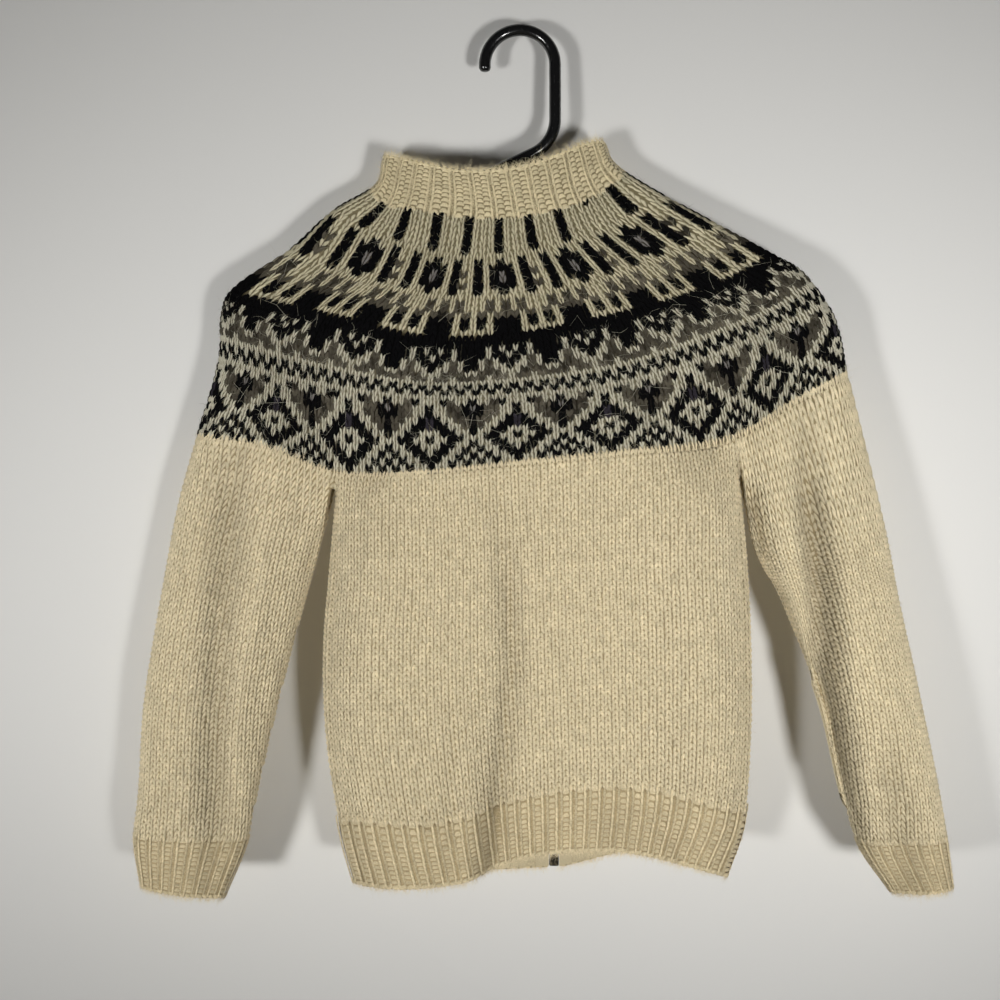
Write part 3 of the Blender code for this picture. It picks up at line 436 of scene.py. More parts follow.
def net_of(place, low, high, rows):
    """A reader of one surface: it takes columns and rows and gives points and outward directions."""
    us = np.linspace(low, high, int(round((high - low) * NET)) + 1)
    vs = np.linspace(0, rows, int(round(rows * NET)) + 1)
    points = place(us, vs)
    out = unit(np.cross(np.gradient(points, axis=0), np.gradient(points, axis=1)))
    if np.sum(out[..., 1] * points[..., 1]) < 0:
        out = -out

    def read(u, v):
        i = np.clip((np.asarray(u, float) - us[0]) / (us[1] - us[0]), 0, len(us) - 1.0001)
        k = np.clip((np.asarray(v, float) - vs[0]) / (vs[1] - vs[0]), 0, len(vs) - 1.0001)
        i0, k0 = i.astype(int), k.astype(int)
        beyond = (np.asarray(v, float) - np.clip(v, 0, rows))[..., None]
        upward = points[i0, k0 + 1] - points[i0, k0]
        return between(points, i, k) + beyond * upward * NET, unit(between(out, i, k))

    return read


BODY_ROWS, HEM_ROWS, SLEEVE_ROWS, CUFF_ROWS, NECK_ROWS = 62, 12, 68, 12, 12
body_net = net_of(lambda s, r: body_surface(s, 1 - r / BODY_ROWS), -BODY_HALF, BODY_HALF, BODY_ROWS)
hem_net = net_of(
    lambda s, r: body_surface(s, 1 + RIB_SHARE - RIB_SHARE * r / HEM_ROWS),
    -BODY_HALF, BODY_HALF, HEM_ROWS,
)
yoke_net = net_of(yoke_surface, -YOKE_HALF, YOKE_HALF, YOKE_ROWS)
neck_net = net_of(lambda s, r: yoke_surface(s, YOKE_ROWS + r), -YOKE_HALF, YOKE_HALF, NECK_ROWS)


def sleeve_net(side, low, high, rows):
    """A stretch of a sleeve, from low mm down it up to high; its seam is at the underarm."""
    def place(stitch, row):
        stitch = np.clip(stitch, 0, SLEEVE_ROUND - 0.001)
        return sleeve_surface(side, stitch, low - (low - high) * row / rows)

    return net_of(place, 0, SLEEVE_ROUND, rows)


sleeve_nets = {side: sleeve_net(side, CUFF_TOP, 0, SLEEVE_ROWS) for side in (-1, 1)}
cuff_nets = {side: sleeve_net(side, CUFF_END, CUFF_TOP, CUFF_ROWS) for side in (-1, 1)}
print("ribbing to yoke at the centre back, mm:", body_net([0, 0], [0, BODY_ROWS])[0].round(1).tolist())

# %% [markdown]
# ## Colours and a node helper
# Colours are picked the way a dyer's card gives them, as six-figure sRGB codes, and one function
# turns them into the linear numbers that Blender's shaders use. A second function adds a shader
# node, sets its values, links its inputs and gives its output, all in one line.

# %% Colour and node helpers
def linear(code):
    parts = [int(code[i : i + 2], 16) / 255 for i in (1, 3, 5)]
    return tuple(c / 12.92 if c <= 0.04045 else ((c + 0.055) / 1.055) ** 2.4 for c in parts)


def opaque(code):
    return (*linear(code), 1)


def wire(node, **inputs):
    """Sets a node's inputs, to values or to sockets to link from: i3 is input 3, and _ a space."""
    for key, value in inputs.items():
        number = key[0] == "i" and key[1:].isdigit()
        slot = node.inputs[int(key[1:]) if number else key.replace("_", " ")]
        if isinstance(value, bpy.types.NodeSocket):
            node.id_data.links.new(value, slot)
        else:
            slot.default_value = value
    return node


def add_node(tree, kind, output=0, settings=None, **inputs):
    """Adds a node with some properties and inputs, and gives one of its output sockets."""
    made = tree.nodes.new(kind)
    for key, value in (settings or {}).items():
        setattr(made, key, value)
    return wire(made, **inputs).outputs[output]


def new_material(name):
    """A material, its nodes, its shader, and the place on the object that its textures read."""
    made = bpy.data.materials.new(name)
    made.use_nodes = True
    tree = made.node_tree
    return made, tree, tree.nodes["Principled BSDF"], add_node(tree, "ShaderNodeTexCoord", "Object")


# %% [markdown]
# ## Wool
# The yarn is undyed sheep's wool, spun thick with hardly any twist. Its scales scatter light, so it
# is rough all over with a soft glow at grazing angles, and its colour is mottled where fleeces were
# mixed. The stitches carry their own colour, because the pattern changes from stitch to stitch, and
# the material adds the mottling and the fine fibres on top of it.

# %% Make the wool
WOOL_IOR = 1.55  # of keratin
FIBRE_MM = 0.9  # real fibres are 0.03 mm thick; a bundle of them is the finest that shows
MOTTLE_MM = 9.0  # patches of one fleece's shade


def make_wool(name, sheen, roughness):
    """Matt wool that takes its colour from the stitches, stored in their meshes as "wool"."""
    made, tree, shader, here = new_material(name)
    dye = add_node(tree, "ShaderNodeVertexColor", "Color", {"layer_name": "wool"})
    fibres = add_node(
        tree, "ShaderNodeTexNoise", Vector=here, Scale=1 / (FIBRE_MM * MM), Detail=2.0, Roughness=0.6
    )
    patches = add_node(tree, "ShaderNodeTexNoise", Vector=here, Scale=1 / (MOTTLE_MM * MM), Detail=3.0)
    fine = add_node(tree, "ShaderNodeMapRange", i0=fibres, i1=0.3, i2=0.7, i3=0.80, i4=1.14)
    broad = add_node(tree, "ShaderNodeMapRange", i0=patches, i1=0.3, i2=0.7, i3=0.93, i4=1.06)
    shade = add_node(tree, "ShaderNodeMath", settings={"operation": "MULTIPLY"}, i0=fine, i1=broad)
    colour = add_node(tree, "ShaderNodeVectorMath", settings={"operation": "SCALE"}, i0=dye, Scale=shade)
    raised = add_node(tree, "ShaderNodeBump", Height=fibres, Strength=0.45, Distance=0.4 * MM)
    wire(
        shader, Base_Color=colour, Normal=raised, Roughness=roughness, IOR=WOOL_IOR,
        Specular_IOR_Level=0.08, Sheen_Weight=sheen, Sheen_Roughness=0.5,
    )
    return made


plain_wool = make_wool("undyed_wool_hand_knitted", 0.10, 0.95)
yoke_wool = make_wool("stranded_wool_hand_knitted", 0.0, 0.97)
CREAM, WHITE, BLACK = linear("#D5C7A7"), linear("#BDB8A5"), linear("#050506")
UPPER_WHITE = linear("#C3BB9F")  # the fleece of the upper bands is yellower
BROWN_GREY, CHARCOAL, PALE_GREY = linear("#4B463C"), linear("#2E2A30"), linear("#77736F")
NECK_CREAM = linear("#D6C8A4")
print("cream, linear:", [round(c, 3) for c in CREAM])

# %% [markdown]
# ## One stitch
# Stocking stitch looks like columns of small Vs. Each V is the two legs of a loop that comes up out
# of the loop below it. A full loop of yarn would need a long tube, half of it out of sight, so only
# the legs are made: each is a plump, tapered strip, high along its middle, with its lower tip sunk
# behind the row below and its upper tip sunk behind the row above. A purl stitch shows the loop's
# other side, a short bump that lies across the column.

# %% Shape the stitch
LEG = np.array([
    # across, up, half width (stitches and rows), height over the cloth (mm)
    (0.09, -0.46, 0.07, -1.2),
    (0.175, 0.00, 0.145, 0.0),
    (0.285, 0.50, 0.215, 0.4),
    (0.35, 1.02, 0.12, -0.6),
])
SLIM_LEG = LEG * np.array([1, 1, 0.80, 1]) + np.array([0, 0, 0, -0.1])  # light yarn beside dark
LEG_PAINTED_SHADE = np.array([0.64, 0.93, 1.06, 0.97])  # painted shade: the tips, which lie deeper, are coloured darker than a leg's middle
RIB_LEG = np.array([
    # in ribbing the legs stand nearly upright and run on from row to row
    (0.30, -0.45, 0.12, -0.2),
    (0.31, -0.05, 0.15, 0.05),
    (0.33, 0.45, 0.16, 0.2),
    (0.34, 1.00, 0.12, -0.1),
])
BUMP = np.array([
    # across, up, half height, height over the cloth
    (-0.50, -0.20, 0.15, -0.7),
    (-0.20, 0.05, 0.36, -0.2),
    (0.20, 0.05, 0.36, -0.2),
    (0.50, -0.20, 0.15, -0.7),
])
DROP = 0.95  # mm from a strip's middle line down to its edges
EDGE_PAINTED_SHADE, PURL_PAINTED_SHADE = 0.90, 0.93  # painted shade: a leg's edges and the purl bumps lie deeper than its middle, so are coloured darker
SLACK, JOG, PURL_JOG = 0.10, 0.045, 0.03  # how uneven a hand knits: in width, and in place
SHADES = 0.05  # how much one stitch's shade differs from the next
chance = np.random.default_rng(7)


def strip_faces(strips, along, across):
    """Quads of many alike strips, each a little net of along x across points."""
    corner = np.array([
        (a * across + b, (a + 1) * across + b, (a + 1) * across + b + 1, a * across + b + 1)
        for a in range(along - 1)
        for b in range(across - 1)
    ])
    return (corner[None] + (np.arange(strips) * along * across)[:, None, None]).reshape(-1, 4)


def knit_legs(read, column, row, wide, colour, rise=0.0, uneven=1.0, leg=LEG, lean_and_light=0.0):
    """Two legs for each stitch. wide is the stitch's width in the map's own units.
    Leaning, the left leg stands higher and is painted lighter, and the right one lies lower and is painted
    darker."""
    n = len(column)
    wide = np.broadcast_to(np.asarray(wide, float), n)
    rise = np.broadcast_to(np.asarray(rise, float), n)[:, None]
    leg = np.broadcast_to(leg, (n, *leg.shape[-2:]))
    slack = 1 + SLACK * uneven * chance.standard_normal((n, 2))
    jog = JOG * uneven * chance.standard_normal((n, 2, 2))
    points, tints = [], []
    for k, side in enumerate((-1, 1)):
        for edge in (-1, 0, 1):
            across = side * leg[..., 0] + edge * leg[..., 2] * slack[:, k, None]
            u = column[:, None] + (across + jog[:, k, 0, None]) * wide[:, None]
            v = row[:, None] + leg[..., 1] + jog[:, k, 1, None]
            at, out = read(u, v)
            lift = leg[..., 3] + rise - lean_and_light * side - (DROP if edge else 0)
            points.append(at + out * lift[..., None])
            # painted shade on the tips and edges, and for leaning legs a painted highlight on the left leg
            # and painted shade on the right
            tint = LEG_PAINTED_SHADE * (EDGE_PAINTED_SHADE if edge else 1.0) * (1 - 0.5 * lean_and_light * side)
            tints.append(np.broadcast_to(tint, u.shape))
    points = np.array(points).reshape(2, 3, n, len(LEG), 3).transpose(2, 0, 3, 1, 4).reshape(-1, 3)
    tints = np.array(tints).reshape(2, 3, n, len(LEG)).transpose(2, 0, 3, 1)
    tints = tints * (1 + SHADES * chance.standard_normal((n, 2)))[:, :, None, None]
    colours = np.asarray(colour)[:, None, None, None] * tints[..., None]
    return points, colours.reshape(-1, 3), strip_faces(2 * n, len(LEG), 3)


def purl_bumps(read, column, row, wide, colour, rise=0.0):
    n = len(column)
    wide = np.broadcast_to(np.asarray(wide, float), n)
    jog = PURL_JOG * chance.standard_normal((n, 2))
    points = []
    for edge in (-1, 0, 1):
        u = column[:, None] + (BUMP[:, 0] + jog[:, :1]) * wide[:, None]
        v = row[:, None] + BUMP[:, 1] + edge * BUMP[:, 2] + jog[:, 1:]
        at, out = read(u, v)
        points.append(at + out * (BUMP[:, 3] + rise - (0.3 * DROP if edge else 0))[None, :, None])
    points = np.array(points).transpose(1, 2, 0, 3).reshape(-1, 3)
    # painted shade on the purl bumps, times shades that differ at random
    tint = PURL_PAINTED_SHADE * (1 + SHADES * chance.standard_normal(n))
    colours = np.repeat(np.asarray(colour) * tint[:, None], len(BUMP) * 3, axis=0)
    return points, colours, strip_faces(n, len(BUMP), 3)


# %% [markdown]
# ## Loose fibres
# Softly spun wool never lies smooth: the ends of its fibres stand out of the yarn and make the halo
# that blurs the stitches' outlines. A hair system would make millions of them. Here some seventy
# thousand short ribbons do it, each of two quads with its broad side outwards, and each as wide as
# a few fibres that cling together. They start inside a stitch, have its colour, and bend as they go.

# %% Draw the loose fibres
STRAND = 0.14  # mm, four or five fibres side by side
LENGTHS, RISES, CURL = 0.35, 0.6, 0.7  # how much fibres differ in length and rise, and bend (radians)
FIBRE_TINT, FIBRE_SHADES = 1.05, 0.08  # they stand in the light, and differ more than stitches do


def fuzz(read, column, row, colour, count, length, lift=0.16, spread=math.pi):
    """Ribbons from random stitches; spread is how far from straight up (radians) they may point."""
    pick = chance.integers(0, len(column), count)
    u = column[pick] + chance.uniform(-0.5, 0.5, count)
    v = row[pick] + chance.uniform(0.0, 1.0, count)
    at, out = read(u, v)
    sideways = unit(np.cross(out, np.array([0, 0, 1.0])))
    up = np.cross(sideways, out)
    angle = chance.uniform(-spread, spread, count)
    lengths = length * np.exp(LENGTHS * chance.standard_normal(count))
    knots, turn = [at + out * 0.2], angle
    for part, rise in ((0.5, lift), (0.5, 0.5 * lift)):
        way = np.sin(turn)[:, None] * sideways + np.cos(turn)[:, None] * up
        rise = rise * (1 + RISES * chance.standard_normal(count))
        knots.append(knots[-1] + (way + out * rise[:, None]) * (part * lengths)[:, None])
        turn = turn + CURL * chance.standard_normal(count)
    broad = unit(np.cross(knots[2] - knots[0], out)) * STRAND / 2
    points = [k + broad * w * e for k, w in zip(knots, (1, 0.9, 0.3)) for e in (-1, 1)]
    tint = FIBRE_TINT + FIBRE_SHADES * chance.standard_normal(count)
    colours = np.repeat(np.asarray(colour)[pick] * tint[:, None], len(points), axis=0)
    return np.stack(points, axis=1).reshape(-1, 3), colours, strip_faces(count, 3, 2)


# %% Turn arrays into an object
def on_garment(made, finish):
    made.data.materials.append(finish)
    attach(made, "garment")
    return made


def mesh_piece(name, points, colours, faces, finish, slot):
    """An object from arrays of points (mm), their colours, and quads."""
    mesh = bpy.data.meshes.new(name)
    mesh.vertices.add(len(points))
    mesh.vertices.foreach_set("co", (np.asarray(points) * MM).astype(np.float32).ravel())
    mesh.loops.add(faces.size)
    mesh.loops.foreach_set("vertex_index", faces.astype(np.int32).ravel())
    mesh.polygons.add(len(faces))
    mesh.polygons.foreach_set("loop_start", np.arange(0, faces.size, faces.shape[1], dtype=np.int32))
    mesh.update(calc_edges=True)
    mesh.shade_smooth()
    layer = mesh.color_attributes.new("wool", "FLOAT_COLOR", "POINT")
    rgba = np.ones((len(points), 4), np.float32)
    rgba[:, :3] = np.clip(colours, 0, 1)
    layer.data.foreach_set("color", rgba.ravel())
    return on_garment(add_object(name, mesh), finish)


def join_parts(*parts):
    """One set of points, colours and faces from several."""
    points, colours, faces = zip(*parts)
    starts = np.cumsum([0, *(len(own) for own in points)])
    faces = [own + start for own, start in zip(faces, starts)]
    return np.concatenate(points), np.concatenate(colours), np.concatenate(faces)


# %% [markdown]
# ## The cloth behind the stitches
# Between the legs one sees into the fabric, where it is shaded, and from inside one sees its plain
# back. A thin closed wall does both: its outside lies just under the legs and its inside where the
# fixed solid's inside is. It is the piece that stands for the solid.

# %% Make the backing walls
STITCH, ROW = 5.56, 4.1  # mm: 18 stitches and 24 rows to 10 cm
RIB_STITCH, RIB_ROW = 4.6, 3.3  # ribbing, on thinner needles, draws together
UNDER, WALL = 1.25, 2.6  # mm below the outer surface: the ground between stitches, and the inside
SHADED = np.array([0.50, 0.46, 0.38])  # light is lost, and warmed, between the stitches
RIB_SHADED = np.array([0.66, 0.62, 0.54])  # ribbing is drawn together, so little shows between
INSIDE_SHADE = 0.75  # no legs stand up to the light on the inside


def backing(node, read, low, high, rows, colour_at, finish, slot, closed=False, shaded=SHADED, under=UNDER):
    """A closed wall over stitches low to high and all rows, coloured by colour_at(column, row)."""
    n = int(round(high - low))
    us = np.linspace(low, high, n + 1)[: n if closed else n + 1]
    u, v = np.meshgrid(us, np.linspace(0, rows, int(rows) + 1), indexing="ij")
    at, out = read(u, v)
    n, m = u.shape
    i = np.arange(n if closed else n - 1)[:, None]
    j, k = (i + 1) % n, np.arange(m - 1)[None, :]
    sheet = np.stack([i * m + k, j * m + k, j * m + k + 1, i * m + k + 1], axis=-1).reshape(-1, 4)
    faces = [sheet, sheet[:, ::-1] + n * m]
    # the rims that join the outside to the inside, along the lower and upper edge and up the ends
    i, j, k = i[:, 0] * m, j[:, 0] * m, k[0]
    for edge in (0, m - 1):
        rim = np.stack([i + edge, n * m + i + edge, n * m + j + edge, j + edge], axis=-1)
        faces.append(rim[:, ::-1] if edge else rim)
    for end in () if closed else (0, (n - 1) * m):
        rim = np.stack([end + k, end + k + 1, n * m + end + k + 1, n * m + end + k], axis=-1)
        faces.append(rim[:, ::-1] if end else rim)
    points = np.concatenate([(at - out * deep).reshape(-1, 3) for deep in (under, WALL)])
    colour = colour_at(u.ravel(), v.ravel())
    colours = np.concatenate([colour * shaded, colour * INSIDE_SHADE])
    piece = mesh_piece("cloth_" + node, points, colours, np.concatenate(faces), finish, slot)
    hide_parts(node)
    return piece


def knit_part(node, stitches, ground, flat, rests_on, yarn=None, area=None, held="hung", **look):
    """A node's stitches and the cloth behind them. ground is what backing reads, and flat is not used."""
    yarn = yarn or (plain_wool, "cream_wool")
    made = join_parts(*stitches)
    piece = mesh_piece("stitches_" + node, *made, *yarn)
    cloth = backing(node, *ground, *yarn, **look)
    print(node, len(made[2]), "faces of stitches and fibres")


HOLLOW_SHADE = 0.03  # painted shade: how fast cream wool is coloured darker with each mm of a fold's depth


def fold_shaded_cream(read, folds, colour=CREAM):
    """The colour at places on a surface, with painted shade in the hollows of folds on the back."""
    def colour_at(column, row):
        at = read(column, row)[0]
        hollow = np.maximum(fold_push(at, folds), 0) * (at[..., 1] < 0)
        return np.array(colour) * np.exp(-HOLLOW_SHADE * hollow)[..., None]
    return colour_at


def plain(colour):
    return lambda column, row: np.tile(colour, (len(column), 1))


SHADED_RIB_CREAM = np.array(CREAM) * np.array([0.91, 0.89, 0.85])  # painted shade: ribbing is coloured darker than the body, as its purl columns lie in shade

# %% [markdown]
# ## The yoke's chart
# A knitter follows a chart of small squares, one for each stitch. Every band here repeats round the
# yoke and is the same on both sides of its middle stitch, so each row is written down from that
# middle stitch to the edge of the repeat. The yoke narrows between bands, so the bands have fewer
# and fewer stitches to a round, and the counts were chosen so that a whole number of repeats fits.

# %% Write down the chart
YARN = {"w": CREAM, "K": BLACK, "W": WHITE, "G": BROWN_GREY, "C": CHARCOAL, "L": PALE_GREY}
BANDS = (
    # first row, stitches in the round, stitches in a repeat, rows from the bottom up
    (-1, YOKE_ROUND, 12, (
        "wwwwwww",
        "KWWKWKW", "KKWWKWK", "WKKWWKW", "WWKKWWK", "KWWKKWW", "WWKKWWK",
        "CKKWWGK", "CKWWGGK", "KWWGGKK", "KWWGGKL", "WWKGWWK", "WWWWWWW",
    )),
    (12, 187, 11, (
        "zigzag", "zigzag", "WWWWWW", "WGGWGG", "WWGGGW", "KWWGWK",
        "KKWGWK", "WKKWKK", "KWKWKK", "KKKKKK", "KKKKKK",
    )),
    (23, 136, 8, ("KKWWW", "KKWKW", "KKWKW", "GGWGW", "GWGWW", "GWGWW", "WWWWW")),
    (30, 108, 9, ("KWWKW", "KKWKW", "LKWKW", "LKWKW", "KKWKW", "KWWKW", "WWWWW")),
    (37, NECK_ROUND, 4, ("KWW", "KWW", "KWW", "KWW", "KWW", "KWW")),
)
UPPER_ROW = 23  # from here up the light yarn is the yellower one


def chart_code(band, row, stitch):
    """The chart's letter for a stitch, counted from the centre back, in a row of a band."""
    first, _, repeat, rows = band
    text = rows[row - first]
    if text == "zigzag":
        return "K" if (stitch + row) % 2 else "W"
    place = stitch % repeat
    if place > repeat // 2:
        place = repeat - place
    if repeat == 9 and row - first in (1, 3) and stitch % repeat == 4:
        return "G"  # one grey stitch between two small diamonds
    if repeat == 4 and stitch == 12 and row < YOKE_ROWS - 1:
        return "W"  # a bar that has worn away
    return text[min(place, len(text) - 1)]


def yarn_at(code, row):
    return UPPER_WHITE if code == "W" and row >= UPPER_ROW else YARN[code]


LOW_ROWS = 12  # the bottom rows, of two yarns, are knitted tighter: 13 of them lie in 12 rows


def tighter(row):
    """Where a row of the chart lies on the map."""
    row = np.asarray(row, float)
    return np.where(row < LOW_ROWS, (row + 1) * LOW_ROWS / (LOW_ROWS + 1), row)


HANG_COLUMNS = (-YOKE_HALF, RIDGE_LEFT, CORNER_LEFT, 0, CORNER_RIGHT, RIDGE_RIGHT, YOKE_HALF)
HANG = (
    # map row, then how many stitches sideways and rows up the pattern hangs from the even map
    (0, (0, -1.4, -0.5, 0.2, 1.1, 0.5, 0), (0, -0.5, -0.5, 0.3, 0.15, 0.4, 0)),
    (6, (0, 0.5, 0.0, 0.2, 0.6, -0.4, 0), (0, -0.5, -0.75, 0.2, 0.3, 0.5, 0)),
    (12, (0, 2.0, 0.4, 0.3, 0.1, -0.5, 0), (0, -0.5, -0.8, 0.3, 0.35, 0.5, 0)),
    (17, (0, 2.4, 0.7, 0.2, -0.3, -0.1, 0), (0, -0.4, -0.55, 0.35, 0.35, 0.6, 0)),
    (23, (0, 1.4, 1.4, 0.0, -0.6, 0.4, 0), (0, -0.2, -0.2, 0.05, 0.3, 0.8, 0)),
    (30, (0, 1.0, 1.7, -0.2, -0.1, 1.0, 0), (0, 0.1, -0.1, -0.2, 0.35, 0.6, 0)),
    (37, (0, -0.5, 1.0, 0.2, 0.6, 1.7, 0), (0, 0.3, 0.05, -0.05, 0.3, 0.6, 0)),
    (43, (0, 0.0, 0.3, 0.6, 1.5, 2.0, 0), (0, 0.3, 0.2, 0.1, 0.2, 0.3, 0)),
)
HANG_STEP = 2  # stitches between the places of the finer table
hang_columns = np.arange(-YOKE_HALF, YOKE_HALF + 1, HANG_STEP)
hang_values = np.moveaxis(np.array([line[1:] for line in HANG]), 2, 0)
hang_table = smooth_rows(HANG_COLUMNS, hang_values, hang_columns)  # column, map row, sideways or up


def hang(column, row):
    """Stitches sideways and rows up that the cloth hangs from the even map at a place."""
    column, row = np.broadcast_arrays(np.asarray(column, float), np.asarray(row, float))
    i = np.clip((column + YOKE_HALF) / HANG_STEP, 0, len(hang_table) - 1.001)
    k = np.clip(np.interp(row, [line[0] for line in HANG], np.arange(len(HANG))), 0, len(HANG) - 1.001)
    return np.moveaxis(between(hang_table, i, k), -1, 0)


def yoke_read(column, row):
    row = tighter(row)
    sideways, up = hang(column, row)
    return yoke_net(column + sideways, row + up)


yoke_stitches = []  # column on the map, row, width, code
for band in BANDS:
    first, round_, _, rows = band
    width = YOKE_ROUND / round_
    reach = int((YOKE_HALF - 0.4) / width)
    for row in range(first, first + len(rows)):
        for stitch in range(-reach, reach + 1):
            yoke_stitches.append((stitch * width, row, width, chart_code(band, row, stitch)))
yoke_column, yoke_row, yoke_width = (np.array([s[k] for s in yoke_stitches], float) for k in range(3))
yoke_codes = np.array([s[3] for s in yoke_stitches])
yoke_colour = np.array([yarn_at(s[3], s[1]) for s in yoke_stitches])
yoke_dark = np.isin(yoke_codes, ("K", "G", "C"))
grey = yoke_codes == "G"
yoke_colour[grey] *= 1 + 0.30 * chance.standard_normal((grey.sum(), 1))  # a heathered yarn
print(len(yoke_stitches), "yoke stitches,", int((yoke_codes == "K").sum()), "of them black")


def chart_colour(column, row):
    """The chart's colour at places on the yoke, for the cloth behind the stitches."""
    found = []
    sideways, up = hang(column, row)
    for u, v in zip(column - sideways, row - up):
        v = int(min(max(v if v > LOW_ROWS else v * (LOW_ROWS + 1) / LOW_ROWS - 1, -1), YOKE_ROWS - 1))
        band = next(b for b in reversed(BANDS) if b[0] <= v)
        found.append(yarn_at(chart_code(band, v, int(round(u * band[1] / YOKE_ROUND))), v))
    return np.array(found)


# %% [markdown]
# ## Knit the yoke
# The yoke is one tube from the armholes to the neck. It is cut here into the back, between the two
# shoulder ridges, and the two fronts, as the fixed model is.

# %% Knit the yoke
DARK_WIDE, LIGHT_WIDE = 1.24, 0.84  # black wool is loftier, and spreads over the light stitches
yoke_parts = (
    # node, first and last stitch, fibres
    ("yoke_back", RIDGE_LEFT, RIDGE_RIGHT, 11000),
    ("yoke_front_left", -YOKE_HALF, RIDGE_LEFT, 2500),
    ("yoke_front_right", RIDGE_RIGHT, YOKE_HALF, 2500),
)
for node, low, high, fibres in yoke_parts:
    mine = (yoke_column >= low) & (yoke_column < high)
    at, colour, dark = (yoke_read, yoke_column[mine], yoke_row[mine]), yoke_colour[mine], yoke_dark[mine]
    base, tall = (high - low) * STITCH, YOKE_ROWS * ROW
    top = base * NECK_ROUND / YOKE_ROUND
    knit_part(
        node,
        (
            knit_legs(
                *at, yoke_width[mine] * np.where(dark, DARK_WIDE, LIGHT_WIDE), colour,
                rise=0.45 * dark, leg=np.where(dark[:, None, None], LEG, SLIM_LEG),
            ),
            fuzz(*at, 0.75 * colour, fibres, 5.0),
            fuzz(*at, np.tile(WHITE, (mine.sum(), 1)), 160, 16.0, lift=0.1),  # a few long ones
        ),
        (yoke_net, low, high, YOKE_ROWS, chart_colour), (base, tall), "hanger",
        yarn=(yoke_wool, "yoke_wool"), area=(base + top) / 2 * tall, shaded=0.6 * SHADED,
    )

# %% [markdown]
# ## Ribbing
# Ribbing sets knit columns beside purl columns. The knit ones draw together and stand forward as
# ribs, and the purl ones sink between them. The hem and the cuffs have one knit and one purl stitch,
# and the neckband has one knit and two purl. The last row is bound off: a chain that lies along the
# edge.

# %% Knit one band of ribbing
FIBRE = 4.5  # mm, the usual length of a loose fibre
RIB_WIDE, PURL_WIDE = 1.12, 1.05  # stitches of ribbing crowd each other and overlap a little


def rib_band(read, low, high, start, pitch, purls, rows, colour_at, fibres, rise=0.4, lean_and_light=0.0):
    """One knit column and some purl ones to each rib, between two places of the map."""
    one = pitch / (1 + purls)
    ribs = np.arange(math.ceil((low - start) / pitch - 0.5), math.ceil((high - start) / pitch - 0.5))
    ribs = ribs[(start + ribs * pitch >= low - 1e-6) & (start + ribs * pitch < high - 1e-6)]
    row = np.tile(np.arange(rows, dtype=float), len(ribs))
    at = (np.repeat(start + ribs * pitch + one / 2, rows), row)
    colour = colour_at(*at)
    parts = [
        knit_legs(read, *at, one * RIB_WIDE, colour, rise=rise, uneven=0.4, leg=RIB_LEG, lean_and_light=lean_and_light),
        fuzz(read, *at, colour, fibres, FIBRE),
    ]
    for p in range(purls):
        at = (np.repeat(start + ribs * pitch + one * (p + 1.5), rows), row + 0.5 * (p % 2))
        sunk = 0.15 if purls > 1 else -0.1  # a single purl column sinks deeper between its ribs
        parts.append(purl_bumps(read, *at, one * PURL_WIDE, colour_at(*at), rise=sunk))
    return join_parts(*parts)


BOUND_DROP = 0.9  # mm from an oval's middle line down to its edges
BOUND = np.array([
    # a bound-off stitch: along the edge, up, half width (stitches and rows), height (mm)
    (-0.55, -0.16, 0.12, -0.5),
    (-0.20, -0.05, 0.42, 0.5),
    (0.25, 0.08, 0.42, 0.5),
    (0.60, 0.20, 0.12, -0.5),
])


def bound_edge(read, low, high, step, row, colour, fibres, rise=0.0, way=1):
    """A chain along an edge: short slanting ovals, one for each stitch, and fibres beyond them."""
    count = max(2, int(round((high - low) / step)))
    column = low + (np.arange(count) + 0.5) * (high - low) / count
    points = []
    for edge in (-1, 0, 1):
        u = column[:, None] + BOUND[:, 0] * step
        at, out = read(u, np.broadcast_to(row + edge * BOUND[:, 2] + BOUND[:, 1], u.shape))
        points.append(at + out * (BOUND[:, 3] + rise - (BOUND_DROP if edge else 0))[None, :, None])
    points = np.array(points).transpose(1, 2, 0, 3).reshape(-1, 3)
    tint = 1 + SHADES * chance.standard_normal(count)
    colours = np.repeat(np.asarray(colour) * tint[:, None], len(BOUND) * 3, axis=0)

    def beyond(u, v):
        return read(u, row + way * 0.3 * (v - row))[0], read(u, v * 0 + row)[1]

    return join_parts(
        (points, colours, strip_faces(count, len(BOUND), 3)),
        fuzz(
            beyond, column, np.full(count, row), np.tile(colour, (count, 1)), fibres, 4.0 * way,
            lift=0.1, spread=1.2,
        ),
    )


# %% Knit the neckband
NECK_RIBS, NECK_STEP = 28, 1.2  # ribs in the round, and map rows to a row
FIRST_RIB = 0.74  # of a rib's width lies between the zip and the first rib
pitch = YOKE_ROUND / NECK_RIBS
knit_part(
    "neckband",
    (
        rib_band(
            lambda u, v: neck_net(u, v * NECK_STEP), -YOKE_HALF, YOKE_HALF, FIRST_RIB * pitch - YOKE_HALF,
            pitch, 2, round(NECK_ROWS / NECK_STEP), plain(NECK_CREAM), 5000, rise=0.5,
        ),
        bound_edge(
            neck_net, 0.5 - YOKE_HALF, YOKE_HALF - 0.5, pitch / 3, NECK_ROWS - 0.1,
            NECK_CREAM, 2600, rise=0.2,
        ),
    ),
    (neck_net, -YOKE_HALF, YOKE_HALF, NECK_ROWS, plain(NECK_CREAM)),
    (NECK_ROUND * RIB_STITCH, NECK_ROWS * RIB_ROW), "cloth_yoke_back", held="stretched",
    shaded=0.6 * RIB_SHADED, under=1.0,
)

# %% [markdown]
# ## Knit the body and its hem
# The body is one piece of stocking stitch from the hem to the yoke. Its stitches stand exactly under
# the yoke's own, column for column.

